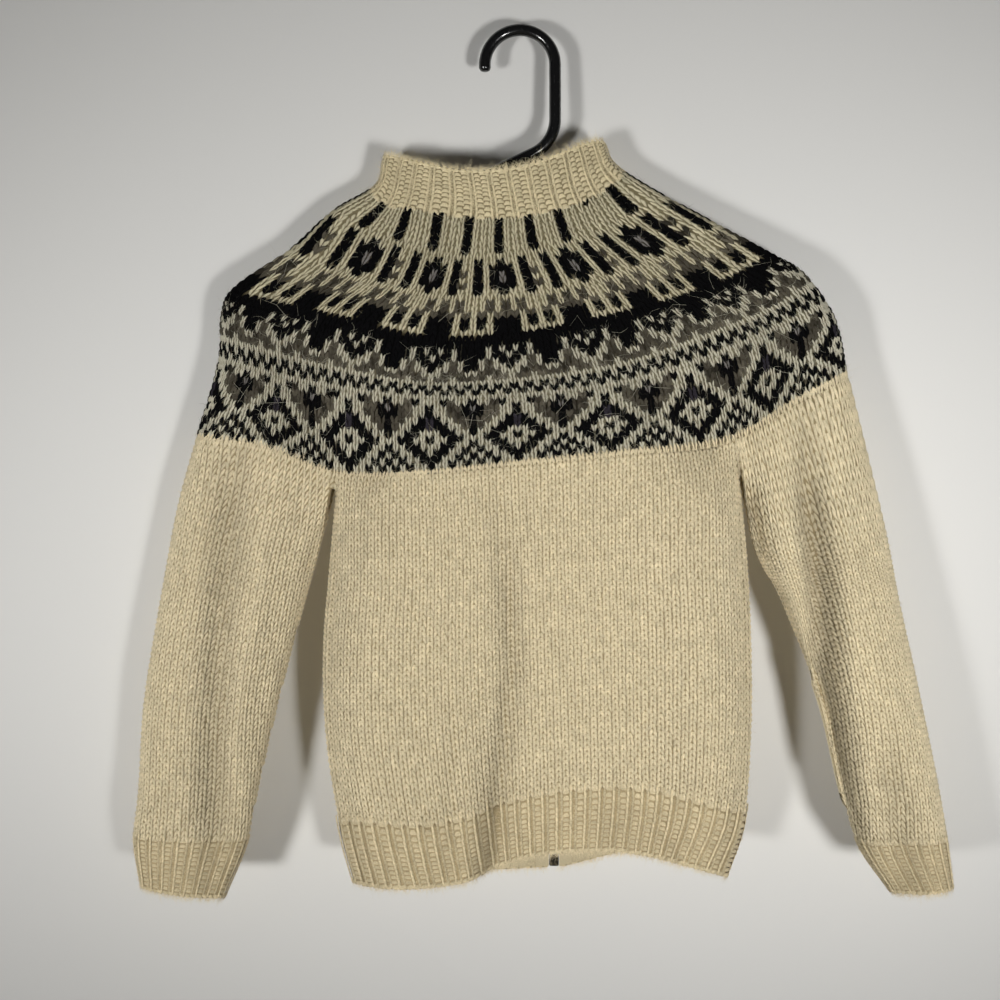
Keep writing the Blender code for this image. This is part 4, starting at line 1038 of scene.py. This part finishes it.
# %% Knit the body and its hem
body_parts = (
    # name, first and last stitch, fibres on the knitting, on the ribbing and at the hem's edge
    ("back", SIDE_LEFT, SIDE_RIGHT, 11000, 2500, 1500),
    ("front_left", -BODY_HALF, SIDE_LEFT, 2000, 1200, 1000),
    ("front_right", SIDE_RIGHT, BODY_HALF, 2000, 1200, 1000),
)


TUCKED = 0.6  # mm


def stocking_stitch(read, at, wide, colour_at, rows, fibres):
    """Stitches and fibres. The row past the last one lies lower, under the yoke's edge."""
    colour = colour_at(*at)
    rise = np.where(at[1] < rows, 0, -TUCKED)
    return (
        knit_legs(read, *at, wide, colour, rise=rise, uneven=0.6),
        fuzz(read, *at, colour, fibres, FIBRE),
    )


def ribbed_edge(node, net, ends, start, pitch, rows, folds, fibres, stitches, rests_on, closed=False):
    """A piece of one and one ribbing, bound off along its lower edge."""
    cream_with_fold_shade = fold_shaded_cream(net, folds, SHADED_RIB_CREAM)
    knit_part(
        node,
        (
            # the knit legs lean: the left is painted lighter and the right one painted darker
            rib_band(net, *ends, start, pitch, 1, rows + 1, cream_with_fold_shade, fibres[0], lean_and_light=0.3),
            bound_edge(net, *ends, pitch / 2, 0.0, SHADED_RIB_CREAM, fibres[1], rise=0.1, way=-1),
        ),
        (net, *ends, rows, cream_with_fold_shade), (stitches * RIB_STITCH, rows * RIB_ROW), rests_on,
        closed=closed, shaded=RIB_SHADED, under=0.75,
    )


for name, low, high, *fibres in body_parts:
    column = np.arange(math.ceil(low + 0.4), math.ceil(high - 0.4), dtype=float)
    at = (np.repeat(column, BODY_ROWS + 1), np.tile(np.arange(BODY_ROWS + 1.0), len(column)))
    cream_with_fold_shade = fold_shaded_cream(body_net, FOLDS_BODY)
    knit_part(
        "body_" + name, stocking_stitch(body_net, at, 1.0, cream_with_fold_shade, BODY_ROWS, fibres[0]),
        (body_net, low, high, BODY_ROWS, cream_with_fold_shade),
        ((high - low) * STITCH, BODY_ROWS * ROW), "cloth_yoke_back",
    )
    ribbed_edge(
        "hem_" + name, hem_net, (low, high), -BODY_HALF, 2.0, HEM_ROWS, FOLDS_BODY, fibres[1:],
        high - low, "cloth_body_" + name,
    )

# %% [markdown]
# ## Knit the sleeves and cuffs
# A sleeve gets narrower towards the wrist. The knitter drops stitches in pairs under the arm, so the
# columns over the outer ridge run straight down and those near the inside run out at the underarm.
# Columns are therefore counted from the ridge, and a stitch is only made where its column still has
# room on the ring.

# %% Lay out a sleeve's columns
EVEN_OUT = 40  # mm down, over which the columns spread evenly round the ring


def sleeve_columns(side):
    """Column, row and width of every stitch on a sleeve, in its map."""
    found = []
    table = SLEEVES[side][0]
    girths = [SLEEVE_ROUND * STITCH]
    for _, outer, inner, depth in table:
        a, b = math.dist(outer, inner) / 2, depth
        girths.append(math.pi * (3 * (a + b) - math.sqrt((3 * a + b) * (a + 3 * b))))
    downs = [0, *(t[0] for t in table)]
    for row in range(SLEEVE_ROWS + 1):
        down = max(CUFF_TOP * (1 - (row + 0.5) / SLEEVE_ROWS), 0)
        half = np.interp(down, downs, girths) / STITCH / 2
        ridge = float(ridge_stitch(side, down))
        blend = min(1.0, down / EVEN_OUT)
        for k in range(-SLEEVE_ROUND // 2, SLEEVE_ROUND // 2 + 1):
            if abs(k) > half - 0.35:
                continue
            room = (ridge if k < 0 else SLEEVE_ROUND - ridge) / half
            scale = (1 - blend) + blend * room
            place = ridge + k * scale
            if 0.3 < place < SLEEVE_ROUND - 0.3:
                found.append((place, row, scale))
    return np.array(found)


# %% [markdown]
# ## Close the hole under the arm
# Where a sleeve leaves the body the knitter grafts a few stitches of both together. They draw the
# cloth into a small saddle, so the gap between sleeve and body starts a little below the yoke.

# %% Graft the underarm
GRAFT = {-1: 3, 1: 5}  # rows from the yoke down to where the gap opens
GRAFT_AT = 3.4  # the sleeve's stitch that it starts from
GRAFT_SHADE = 0.12  # painted shade: how fast its colour darkens with each row down, where it turns inwards


def graft(side):
    """Two columns of stitches and their ground, both with painted shade, from the sleeve's edge to the
    body's.
    """
    rows = GRAFT[side]
    body_column = (CORNER_LEFT if side < 0 else CORNER_RIGHT) - 0.6 * side

    def read(u, v):
        share, down = np.asarray(u, float)[..., None] / 2, rows - np.asarray(v, float)
        on_sleeve = sleeve_nets[side](np.full(down.shape, GRAFT_AT), SLEEVE_ROWS - down)[0]
        on_body = body_net(np.full(down.shape, body_column), BODY_ROWS - down)[0]
        at = on_sleeve * (1 - share) + on_body * share
        hollow = 4 * share[..., 0] * (1 - share[..., 0]) * (0.4 + 0.35 * np.maximum(down, 0) ** 2)
        return at + hollow[..., None] * np.array([0, 1.0, 0]), np.broadcast_to([0, -1.0, 0], at.shape)

    def shade(v):
        return np.exp(-GRAFT_SHADE * (rows - v.ravel()))[:, None] * np.array(CREAM)

    u, v = np.meshgrid([0.5, 1.5], np.arange(rows, dtype=float), indexing="ij")
    legs = knit_legs(read, u.ravel(), v.ravel(), 1.0, shade(v), uneven=0.6)
    u, v = np.meshgrid(np.linspace(0, 2, 2 * NET + 1), np.linspace(0, rows, NET * rows + 1), indexing="ij")
    at, out = read(u, v)
    ground = (at - out * UNDER).reshape(-1, 3)
    return join_parts(legs, (ground, shade(v) * SHADED, strip_faces(1, *u.shape)))


# %% Knit both sleeves
CUFF_RIBS, WRIST_STITCHES = 18, 37  # in the round
for side, name in ((-1, "left"), (1, "right")):
    net, folds = sleeve_nets[side], SLEEVES[side][1]
    column, row, wide = sleeve_columns(side).T
    cream_with_fold_shade = fold_shaded_cream(net, folds)
    knit_part(
        "sleeve_" + name,
        (*stocking_stitch(net, (column, row), wide, cream_with_fold_shade, SLEEVE_ROWS, 7500), graft(side)),
        (net, 0, SLEEVE_ROUND, SLEEVE_ROWS, cream_with_fold_shade), (SLEEVE_ROUND * STITCH, CUFF_TOP), "cloth_yoke_back",
        area=(SLEEVE_ROUND + WRIST_STITCHES) / 2 * STITCH * CUFF_TOP, closed=True,
    )
    ribbed_edge(
        "cuff_" + name, cuff_nets[side], (0, SLEEVE_ROUND), 0, SLEEVE_ROUND / CUFF_RIBS, CUFF_ROWS, folds,
        (2000, 800), 2 * CUFF_RIBS, "cloth_sleeve_" + name, closed=True,
    )
    print(name, "sleeve:", len(column), "stitches")

# %% [markdown]
# ## The zip
# A heavy metal zip closes the front: two beige woven tapes, sewn behind the knitted edges, a row of
# teeth clamped on each, a ribbed box at the foot, and a slider with a pull tab near the top. Its
# places follow the front edges of the knitting, so it is laid out along their map: a centre line
# from the hem to the neck, with its sideways and outward directions at each height.

# %% Follow the front edges
TAPE_IN, TAPE_OUT, TAPE_THICK = 3.9, 14.0, 0.8  # mm from the centre line, and through the cloth
BOX_WIDE, BOX_TALL, BOX_THICK = 7.2, 8.6, 3.4  # mm
FRONT_NETS = (
    # net, its last column, its rows, and 1 where the net below has its first row already
    (hem_net, BODY_HALF, HEM_ROWS, 0), (body_net, BODY_HALF, BODY_ROWS, 1),
    (yoke_net, YOKE_HALF, YOKE_ROWS, 1), (neck_net, YOKE_HALF, NECK_ROWS, 1),
)


def beside_zip(side, offset, depth):
    """Points up the front, offset from the zip's centre line and depth behind the knitted face."""
    line = []
    for read, half, rows, skip in FRONT_NETS:
        v = np.arange(skip, rows + 1, dtype=float)
        edge, out = read(np.full(len(v), side * float(half)), v)
        inward = read(np.full(len(v), side * (half - 1.0)), v)[0]
        wide = np.linalg.norm(inward - edge, axis=1)
        if offset > ZIP_EDGE:
            point = read(side * (half - (offset - ZIP_EDGE) / wide), v)[0]
        else:
            point = edge + (inward - edge) / wide[:, None] * (offset - ZIP_EDGE)
        line.append(point - unit(out * np.array([0, 1, 1])) * depth)
    return np.concatenate(line)


chain_depth = WALL + SEAM + TAPE_THICK / 2
left_line, right_line = beside_zip(-1, TAPE_IN, chain_depth), beside_zip(1, TAPE_IN, chain_depth)
zip_centre = (left_line + right_line) / 2
zip_climbed = np.concatenate([[0], np.cumsum(np.linalg.norm(np.diff(zip_centre, axis=0), axis=1))])
zip_across = unit(right_line - left_line)
zip_outward = np.cross(unit(np.gradient(zip_centre, axis=0)), zip_across)
zip_outward = unit(zip_outward * np.sign(zip_outward[:, 1:2]))
print("zip length, mm:", round(float(zip_climbed[-1]), 1))


def on_zip(height):
    """Centre, sideways, upward and outward at heights along the chain, each as rows of three."""
    found = [
        np.stack([np.interp(height, zip_climbed, line[:, k]) for k in range(3)], axis=-1)
        for line in (zip_centre, zip_across, zip_outward)
    ]
    across, outward = unit(found[1]), unit(found[2])
    return found[0], across, unit(np.cross(outward, across)), outward


# %% [markdown]
# ## Materials of the zip and the hanger
# The tape is polyester, woven in a fine twill. The zip's metal is brass that was blackened at the
# factory and has worn bright on its edges. The hanger is polystyrene, moulded glossy, with the hair
# scratches that hooks and hands leave.

# %% Woven tape, blackened brass and moulded polystyrene
THREAD_MM = 0.8  # real threads are 0.3 mm; drawn coarser so that the twill shows
WAVE_BAND = 0.314  # the width of one band of a wave texture at scale 1
WEAR_MM = 2.5  # patches that rubbed against cloth and fingers
SCRATCH_MM, FLOW_MM = 0.8, 14  # real scratches are finer; the long waves come from the cooling mould
POLYESTER_IOR, POLYSTYRENE_IOR = 1.57, 1.59


def make_tape_cloth():
    """Polyester twill: matt, with fine slanting lines."""
    made, tree, shader, here = new_material("woven_polyester_twill")
    turned = add_node(tree, "ShaderNodeMapping", Vector=here, Rotation=(0, math.radians(35), 0))
    close = WAVE_BAND / (THREAD_MM * MM)
    twill = add_node(
        tree, "ShaderNodeTexWave", "Fac", {"bands_direction": "X"},
        Vector=turned, Scale=close, Distortion=0.6, Detail=1.0,
    )
    threads = add_node(tree, "ShaderNodeTexWave", "Fac", {"bands_direction": "Z"}, Vector=here, Scale=close)
    weave = add_node(tree, "ShaderNodeMath", settings={"operation": "MULTIPLY"}, i0=twill, i1=threads)
    beige = add_node(
        tree, "ShaderNodeMix", "Result", {"data_type": "RGBA"},
        Factor=weave, A=opaque("#A5977A"), B=opaque("#D8CAA8"),
    )
    raised = add_node(tree, "ShaderNodeBump", Height=weave, Strength=0.6, Distance=0.25 * MM)
    wire(
        shader, Base_Color=beige, Normal=raised, Roughness=0.8, IOR=POLYESTER_IOR,
        Specular_IOR_Level=0.3, Sheen_Weight=0.1,
    )
    return made


def make_blackened_brass():
    """Dark, slightly brown metal whose rubbed places are smoother and lighter."""
    made, tree, shader, here = new_material("blackened_brass")
    wear = add_node(tree, "ShaderNodeTexNoise", Vector=here, Scale=1 / (WEAR_MM * MM), Detail=4.0)
    rubbed = add_node(tree, "ShaderNodeMapRange", i0=wear, i1=0.45, i2=0.72, i3=0.0, i4=1.0)
    colour = add_node(
        tree, "ShaderNodeMix", "Result", {"data_type": "RGBA"},
        Factor=rubbed, A=opaque("#1F1C18"), B=opaque("#5A5140"),
    )
    rough = add_node(tree, "ShaderNodeMapRange", i0=wear, i1=0.3, i2=0.7, i3=0.55, i4=0.40)
    raised = add_node(tree, "ShaderNodeBump", Height=wear, Strength=0.15, Distance=0.1 * MM)
    wire(shader, Base_Color=colour, Normal=raised, Roughness=rough, Metallic=1.0)
    return made


def make_polystyrene():
    """Black glossy plastic: a clear reflection, dulled a little by hair scratches."""
    made, tree, shader, here = new_material("moulded_polystyrene_black")
    long_ = add_node(tree, "ShaderNodeMapping", Vector=here, Scale=(1.0, 1.0, 0.15))
    hair = add_node(tree, "ShaderNodeTexNoise", Vector=long_, Scale=1 / (SCRATCH_MM * MM), Detail=5.0)
    flow = add_node(tree, "ShaderNodeTexNoise", Vector=here, Scale=1 / (FLOW_MM * MM), Detail=1.0)
    rough = add_node(tree, "ShaderNodeMapRange", i0=hair, i1=0.35, i2=0.8, i3=0.10, i4=0.34)
    raised = add_node(tree, "ShaderNodeBump", Height=flow, Strength=0.25, Distance=0.4 * MM)
    wire(shader, Base_Color=opaque("#0B0B0C"), Normal=raised, Roughness=rough, IOR=POLYSTYRENE_IOR)
    return made


tape_cloth, dark_brass, polystyrene = make_tape_cloth(), make_blackened_brass(), make_polystyrene()
print("made", ", ".join(finish.name for finish in (tape_cloth, dark_brass, polystyrene)))

# %% Weave the tapes
def ring_faces(rings, around):
    """Quads between rings of points, with an end face on the first and the last ring."""
    faces = []
    for i in range(rings - 1):
        for k in range(around):
            a, b = i * around + k, i * around + (k + 1) % around
            faces.append((a, b, b + around, a + around))
    first = tuple(range(around))
    return [*faces, first[::-1], tuple((rings - 1) * around + k for k in first)]


def solid_piece(name, points, faces, finish, slot, smooth=40):
    """An object from points in millimetres and faces of any number of sides."""
    mesh = bpy.data.meshes.new(name)
    mesh.from_pydata((np.asarray(points) * MM).tolist(), [], faces)
    shell = bmesh.new()
    shell.from_mesh(mesh)
    bmesh.ops.recalc_face_normals(shell, faces=shell.faces)
    shell.to_mesh(mesh)
    shell.free()
    mesh.shade_smooth()
    mesh.set_sharp_from_angle(angle=math.radians(smooth))
    return on_garment(add_object(name, mesh), finish)


TAPE_SHARES = np.array([0.0, 0.08, 0.3, 0.55, 0.8, 0.95, 1.0])  # of the way across a tape
for side, name in ((-1, "left"), (1, "right")):
    rounds = np.array([
        beside_zip(side, TAPE_IN + share * (TAPE_OUT - TAPE_IN), WALL + SEAM + deeper)
        for shares, deeper in ((TAPE_SHARES, 0), (TAPE_SHARES[::-1], TAPE_THICK))
        for share in shares
    ]).transpose(1, 0, 2)
    tape = solid_piece(
        "tape_" + name, rounds.reshape(-1, 3), ring_faces(*rounds.shape[:2]), tape_cloth, "zip_cloth"
    )
    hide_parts("zip_tape_" + name)
    print(name, "tape:", len(tape.data.polygons), "faces")

# %% [markdown]
# ## Teeth, box and slider
# Each tooth is stamped with a hooked head that catches the next one from the other side. One outline
# is drawn and given a thickness with slightly smaller faces, which rounds its edges, and is then
# repeated up both sides, half a step apart.

# %% Clamp on the teeth
TOOTH = np.array([
    # across from the centre line, up
    (3.55, -0.50), (1.00, -0.50), (0.45, -0.62), (-0.35, -0.55), (-0.80, -0.25),
    (-0.80, 0.25), (-0.35, 0.55), (0.45, 0.62), (1.00, 0.50), (3.55, 0.50),
])
TOOTH_STEP = 1.28  # mm from one tooth to the next of the other side
TOOTH_LAYERS = ((-1.05, 0.86), (-0.8, 1.0), (0.8, 1.0), (1.05, 0.86))  # outward, share of the outline
heights = np.arange(BOX_TALL + 1.2, zip_climbed[-1] - 1.0, TOOTH_STEP)
centre, across, upward, outward = on_zip(heights)
middle = TOOTH.mean(axis=0)
points, faces = [], []
for i in range(len(heights)):
    start, way = len(points) * len(TOOTH), 1 if i % 2 else -1
    for out_by, share in TOOTH_LAYERS:
        flat = middle + (TOOTH - middle) * share
        ring = centre[i] + flat[:, :1] * way * across[i] + flat[:, 1:] * upward[i]
        points.append(ring + out_by * outward[i])
    faces += [tuple(start + k for k in face) for face in ring_faces(len(TOOTH_LAYERS), len(TOOTH))]
teeth = solid_piece("zip_teeth", np.concatenate(points), faces, dark_brass, "dark_metal", smooth=50)
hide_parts("zip_chain")
print(len(heights), "teeth")

# %% Mould the ribbed box
BOX_RIBS, BOX_CORNER = 4, 0.35  # corners get rounder as this goes to 1
BOX_LEVELS = (
    # share of its height from its middle, size, and how deep the grooves are
    (-0.5, 0.80, 0.0), (-0.47, 0.93, 0.3), (-0.40, 1.0, 1.0), (0.0, 1.0, 1.0),
    (0.34, 1.0, 1.0), (0.44, 0.96, 0.7), (0.5, 0.84, 0.0),
)
around = np.linspace(0, 2 * math.pi, 64, endpoint=False)
square = np.stack([
    np.sign(wave) * np.abs(wave) ** BOX_CORNER * size / 2
    for wave, size in ((np.cos(around), BOX_WIDE), (np.sin(around), BOX_THICK))
], axis=-1)
groove = 0.5 + 0.5 * np.cos(2 * math.pi * BOX_RIBS * square[:, 0] / BOX_WIDE + math.pi)
points = []
for share, size, ribbed in BOX_LEVELS:
    centre, across, upward, outward = (r[0] for r in on_zip(np.array([BOX_TALL * (0.5 + share)])))
    flat = square * size
    flat[:, 1] *= 1 - 0.24 * ribbed * (1 - groove)
    points.append(centre + flat[:, :1] * across + flat[:, 1:] * outward)
faces = ring_faces(len(BOX_LEVELS), len(around))
box = solid_piece("zip_box_ribbed", np.concatenate(points), faces, dark_brass, "dark_metal")
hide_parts("zip_box")
print("box:", len(box.data.polygons), "faces,", BOX_RIBS, "ribs")

# %% Round the edges of the slider and its tab
for node, width in (("zip_slider", 0.30), ("zip_pull", 0.28)):
    piece = bpy.data.objects[node]
    piece.data.materials.clear()
    piece.data.materials.append(dark_brass)
    soft = piece.modifiers.new("rounded_edges", "BEVEL")
    soft.width = width * MM
    soft.segments = 3
    soft.limit_method = "ANGLE"
    soft.angle_limit = math.radians(35)
    print(node, "rounded by", width, "mm")

# %% [markdown]
# ## The hanger
# The hanger is one tube that was moulded with its hook: up from the left arm, round the hook to a
# blunt tip, and along the bar to the right arm, which joins the bend under the hook. A tube is a
# ring of points carried along a line, and the line is made of straight runs and arcs.

# %% Bend the hanger
TUBE, TUBE_SIDES = 4.4, 32  # mm, the tube's radius
HOOK_RADIUS, HOOK_SWEEP, NECK_BEND = 26.0, 183.0, 28.0  # mm, degrees, and mm for the bend below it
ARM_SLOPE, TILT = 25.15, 0.2  # degrees down, and how far the whole hanger leans to the left
ARMS_MEET, ARM_LENGTH, END_BEND = (4.0, -89.6), 220.0, 11.0  # mm
WELD_TUBE, WELD_LONG = 4.1, 22.0  # the right arm's root is thinner where it joins
TIP = ((0.80, 0.30), (0.74, 0.55), (0.60, 0.79), (0.38, 0.93), (0.15, 0.99))  # in radii: beyond, thick


def arc(middle, radius, first, last, count):
    angles = np.radians(np.linspace(first, last, count))
    x, z = middle[0] + radius * np.cos(angles), middle[1] + radius * np.sin(angles)
    return np.stack([x, np.zeros(count), z], axis=-1)


def arm(slope, way, length):
    """A place along an arm's line, from where the two arms' lines meet."""
    angle = math.radians(slope)
    return np.array(ARMS_MEET) + length * np.array([way * math.cos(angle), -math.sin(angle)])


def end_centre(slope, way):
    angle = math.radians(slope)
    return arm(slope, way, ARM_LENGTH) - END_BEND * np.array([way * math.sin(angle), math.cos(angle)])


def upright(*places):
    return [[x, 0, z] for x, z in places]


def tube(path, radii):
    tangent = unit(np.gradient(path, axis=0))
    sideways = np.stack([-tangent[:, 2], np.zeros(len(path)), tangent[:, 0]], axis=-1)
    turn = np.linspace(0, 2 * math.pi, TUBE_SIDES, endpoint=False)
    cos, sin = np.cos(turn)[None, :, None], np.sin(turn)[None, :, None]
    ring = cos * sideways[:, None] + sin * np.array([0, 1.0, 0])
    points = path[:, None] + ring * np.asarray(radii)[:, None, None]
    return points.reshape(-1, 3), ring_faces(len(path), TUBE_SIDES)


left_slope, right_slope = ARM_SLOPE + TILT, ARM_SLOPE - TILT
bend_x = HOOK_RADIUS - NECK_BEND
slope = math.radians(left_slope)
bend_z = ARMS_MEET[1] + (NECK_BEND + math.sin(slope) * (bend_x - ARMS_MEET[0])) / math.cos(slope)
path = np.concatenate([
    arc((0, TUBE - HOOK_RADIUS), HOOK_RADIUS, HOOK_SWEEP, 0, 60),
    arc((bend_x, bend_z), NECK_BEND, 0, left_slope - 90, 22),
    arc(end_centre(left_slope, -1), END_BEND, 90 + left_slope, 270 - TILT, 26),
    arc(end_centre(right_slope, 1), END_BEND, -90 - TILT, 90 - right_slope, 26),
    upright(arm(right_slope, 1, WELD_LONG)),
])
ahead = unit(path[0] - path[1])
path = np.concatenate([[path[0] + ahead * TUBE * beyond for beyond, _ in TIP], path])
radii = [TUBE * thick for _, thick in TIP] + [TUBE] * (len(path) - len(TIP))
hanger = solid_piece("hanger_tube", *tube(path, radii), polystyrene, "black_plastic", smooth=60)
root_path = np.array(upright(arm(right_slope, 1, -1.0), arm(right_slope, 1, WELD_LONG + 8)))
root = solid_piece("root_tube", *tube(root_path, [WELD_TUBE] * 2), polystyrene, "black_plastic", smooth=60)
weld = hanger.modifiers.new("weld", "BOOLEAN")
weld.operation, weld.solver, weld.object = "UNION", "EXACT", root
graph = bpy.context.evaluated_depsgraph_get()
welded = bpy.data.meshes.new_from_object(hanger.evaluated_get(graph))
hanger.modifiers.clear()
hanger.data = welded
bpy.data.objects.remove(root)
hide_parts("hanger")
print("hanger:", len(welded.polygons), "faces")

# %% [markdown]
# ## The room
# The garment hangs on a nail in front of a plain pale wall: 22 mm off it at the hook, and further
# down, where its own thickness pushes it away. Two soft lamps stand low in front of it, one on each
# side, so that each throws a soft shadow up and away from itself, and the ribs and stitches are
# modelled from both sides. The room's own light fills the shadows. The wall and the floor are painted
# on one side only: light and eyes that come from behind them pass through, and so the zip front can
# be seen too.

# %% Paint for wall and floor
ROLLER_MM = 3  # the grain that a roller's nap leaves


def make_paint(name, code, roughness, glow=0.0):
    """Matt emulsion paint rolled on plaster.
    The glow, which only the camera sees, stands for lamps that would light a far floor."""
    made, tree, shader, here = new_material(name)
    grain = add_node(tree, "ShaderNodeTexNoise", Vector=here, Scale=1 / (ROLLER_MM * MM), Detail=3.0)
    raised = add_node(tree, "ShaderNodeBump", Height=grain, Strength=0.12, Distance=0.3 * MM)
    eye = add_node(tree, "ShaderNodeLightPath", "Is Camera Ray")
    seen = add_node(tree, "ShaderNodeMath", settings={"operation": "MULTIPLY"}, i0=eye, i1=glow)
    wire(
        shader, Base_Color=opaque(code), Normal=raised, Roughness=roughness, Specular_IOR_Level=0.2,
        Emission_Color=opaque(code), Emission_Strength=seen,
    )
    behind = add_node(tree, "ShaderNodeNewGeometry", "Backfacing")
    shadow = add_node(tree, "ShaderNodeLightPath", "Is Shadow Ray")
    through = add_node(tree, "ShaderNodeMath", settings={"operation": "MAXIMUM"}, i0=behind, i1=shadow)
    clear = add_node(tree, "ShaderNodeBsdfTransparent")
    both = add_node(tree, "ShaderNodeMixShader", i0=through, i1=shader.outputs[0], i2=clear)
    wire(tree.nodes["Material Output"], Surface=both)
    return made


# %% Wall and floor
FLOOR_Z = -1750.0  # mm from the hook's seat
ROOM = 4000.0  # mm to each side


def wall_y(x, z):
    """The nail holds the hook close to the wall, and the thick cloth pushes the foot away from it."""
    return 22.0 + 0.03 * x - 0.075 * z


def stage_plane(name, corners, finish):
    mesh = bpy.data.meshes.new(name)
    mesh.from_pydata([tuple(c * MM for c in corner) for corner in corners], [], [(0, 1, 2, 3)])
    mesh.materials.append(finish)
    add_object(name, mesh)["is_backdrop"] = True


stage_plane(
    "wall",
    [(x, wall_y(x, z), z) for x, z in ((-ROOM, FLOOR_Z), (ROOM, FLOOR_Z), (ROOM, ROOM), (-ROOM, ROOM))],
    make_paint("matt_wall_paint", "#CDCCCA", 0.9),
)
stage_plane(
    "floor",
    [(-ROOM, -ROOM, FLOOR_Z), (ROOM, -ROOM, FLOOR_Z), (ROOM, ROOM, FLOOR_Z), (-ROOM, ROOM, FLOOR_Z)],
    make_paint("matt_floor_paint", "#DAD6CF", 0.8, glow=0.55),
)

print("the wall is", wall_y(0, 0), "mm behind the hook")

# %% Light
DAYLIGHT = opaque("#FFFDFA")
world = bpy.data.worlds.new("soft_daylight")
world.use_nodes = True
sky = world.node_tree
lights = add_node(sky, "ShaderNodeBackground", Color=DAYLIGHT, Strength=0.055)
seen = add_node(sky, "ShaderNodeBackground", Color=DAYLIGHT, Strength=0.50)
eye = add_node(sky, "ShaderNodeLightPath", "Is Camera Ray")
both = add_node(sky, "ShaderNodeMixShader", i0=eye, i1=lights, i2=seen)
wire(sky.nodes["World Output"], Surface=both)
bpy.context.scene.world = world

LAMPS = (
    # name, place and aim in metres, width, watts, spread in degrees
    ("lamp_right", (1.10, -2.40, -1.20), (0.32, 0, -0.38), 0.42, 2.45, 33),
    ("lamp_left", (-1.52, -2.40, -1.10), (-0.32, 0, -0.40), 0.42, 2.25, 33),
    ("lamp_behind_high", (0.9, 1.5, 0.5), (0, 0, -0.3), 0.8, 14, 180),
    ("lamp_behind_low", (-1.1, 1.4, -0.6), (0, 0, -0.3), 0.8, 9, 180),
)
for name, place, aim, width, power, spread in LAMPS:
    lamp = bpy.data.lights.new(name, "AREA")
    lamp.shape, lamp.size, lamp.energy = "DISK", width, power
    lamp.spread, lamp.color = math.radians(spread), linear("#FFFFFD")
    made = add_object(name, lamp)
    made.location = place
    x, y, z = np.array(aim) - np.array(place)
    made.rotation_euler = (math.atan2(math.hypot(x, y), -z), 0, math.atan2(-x, y))
print(len(LAMPS), "lamps")

# %% Finish
low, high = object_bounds()
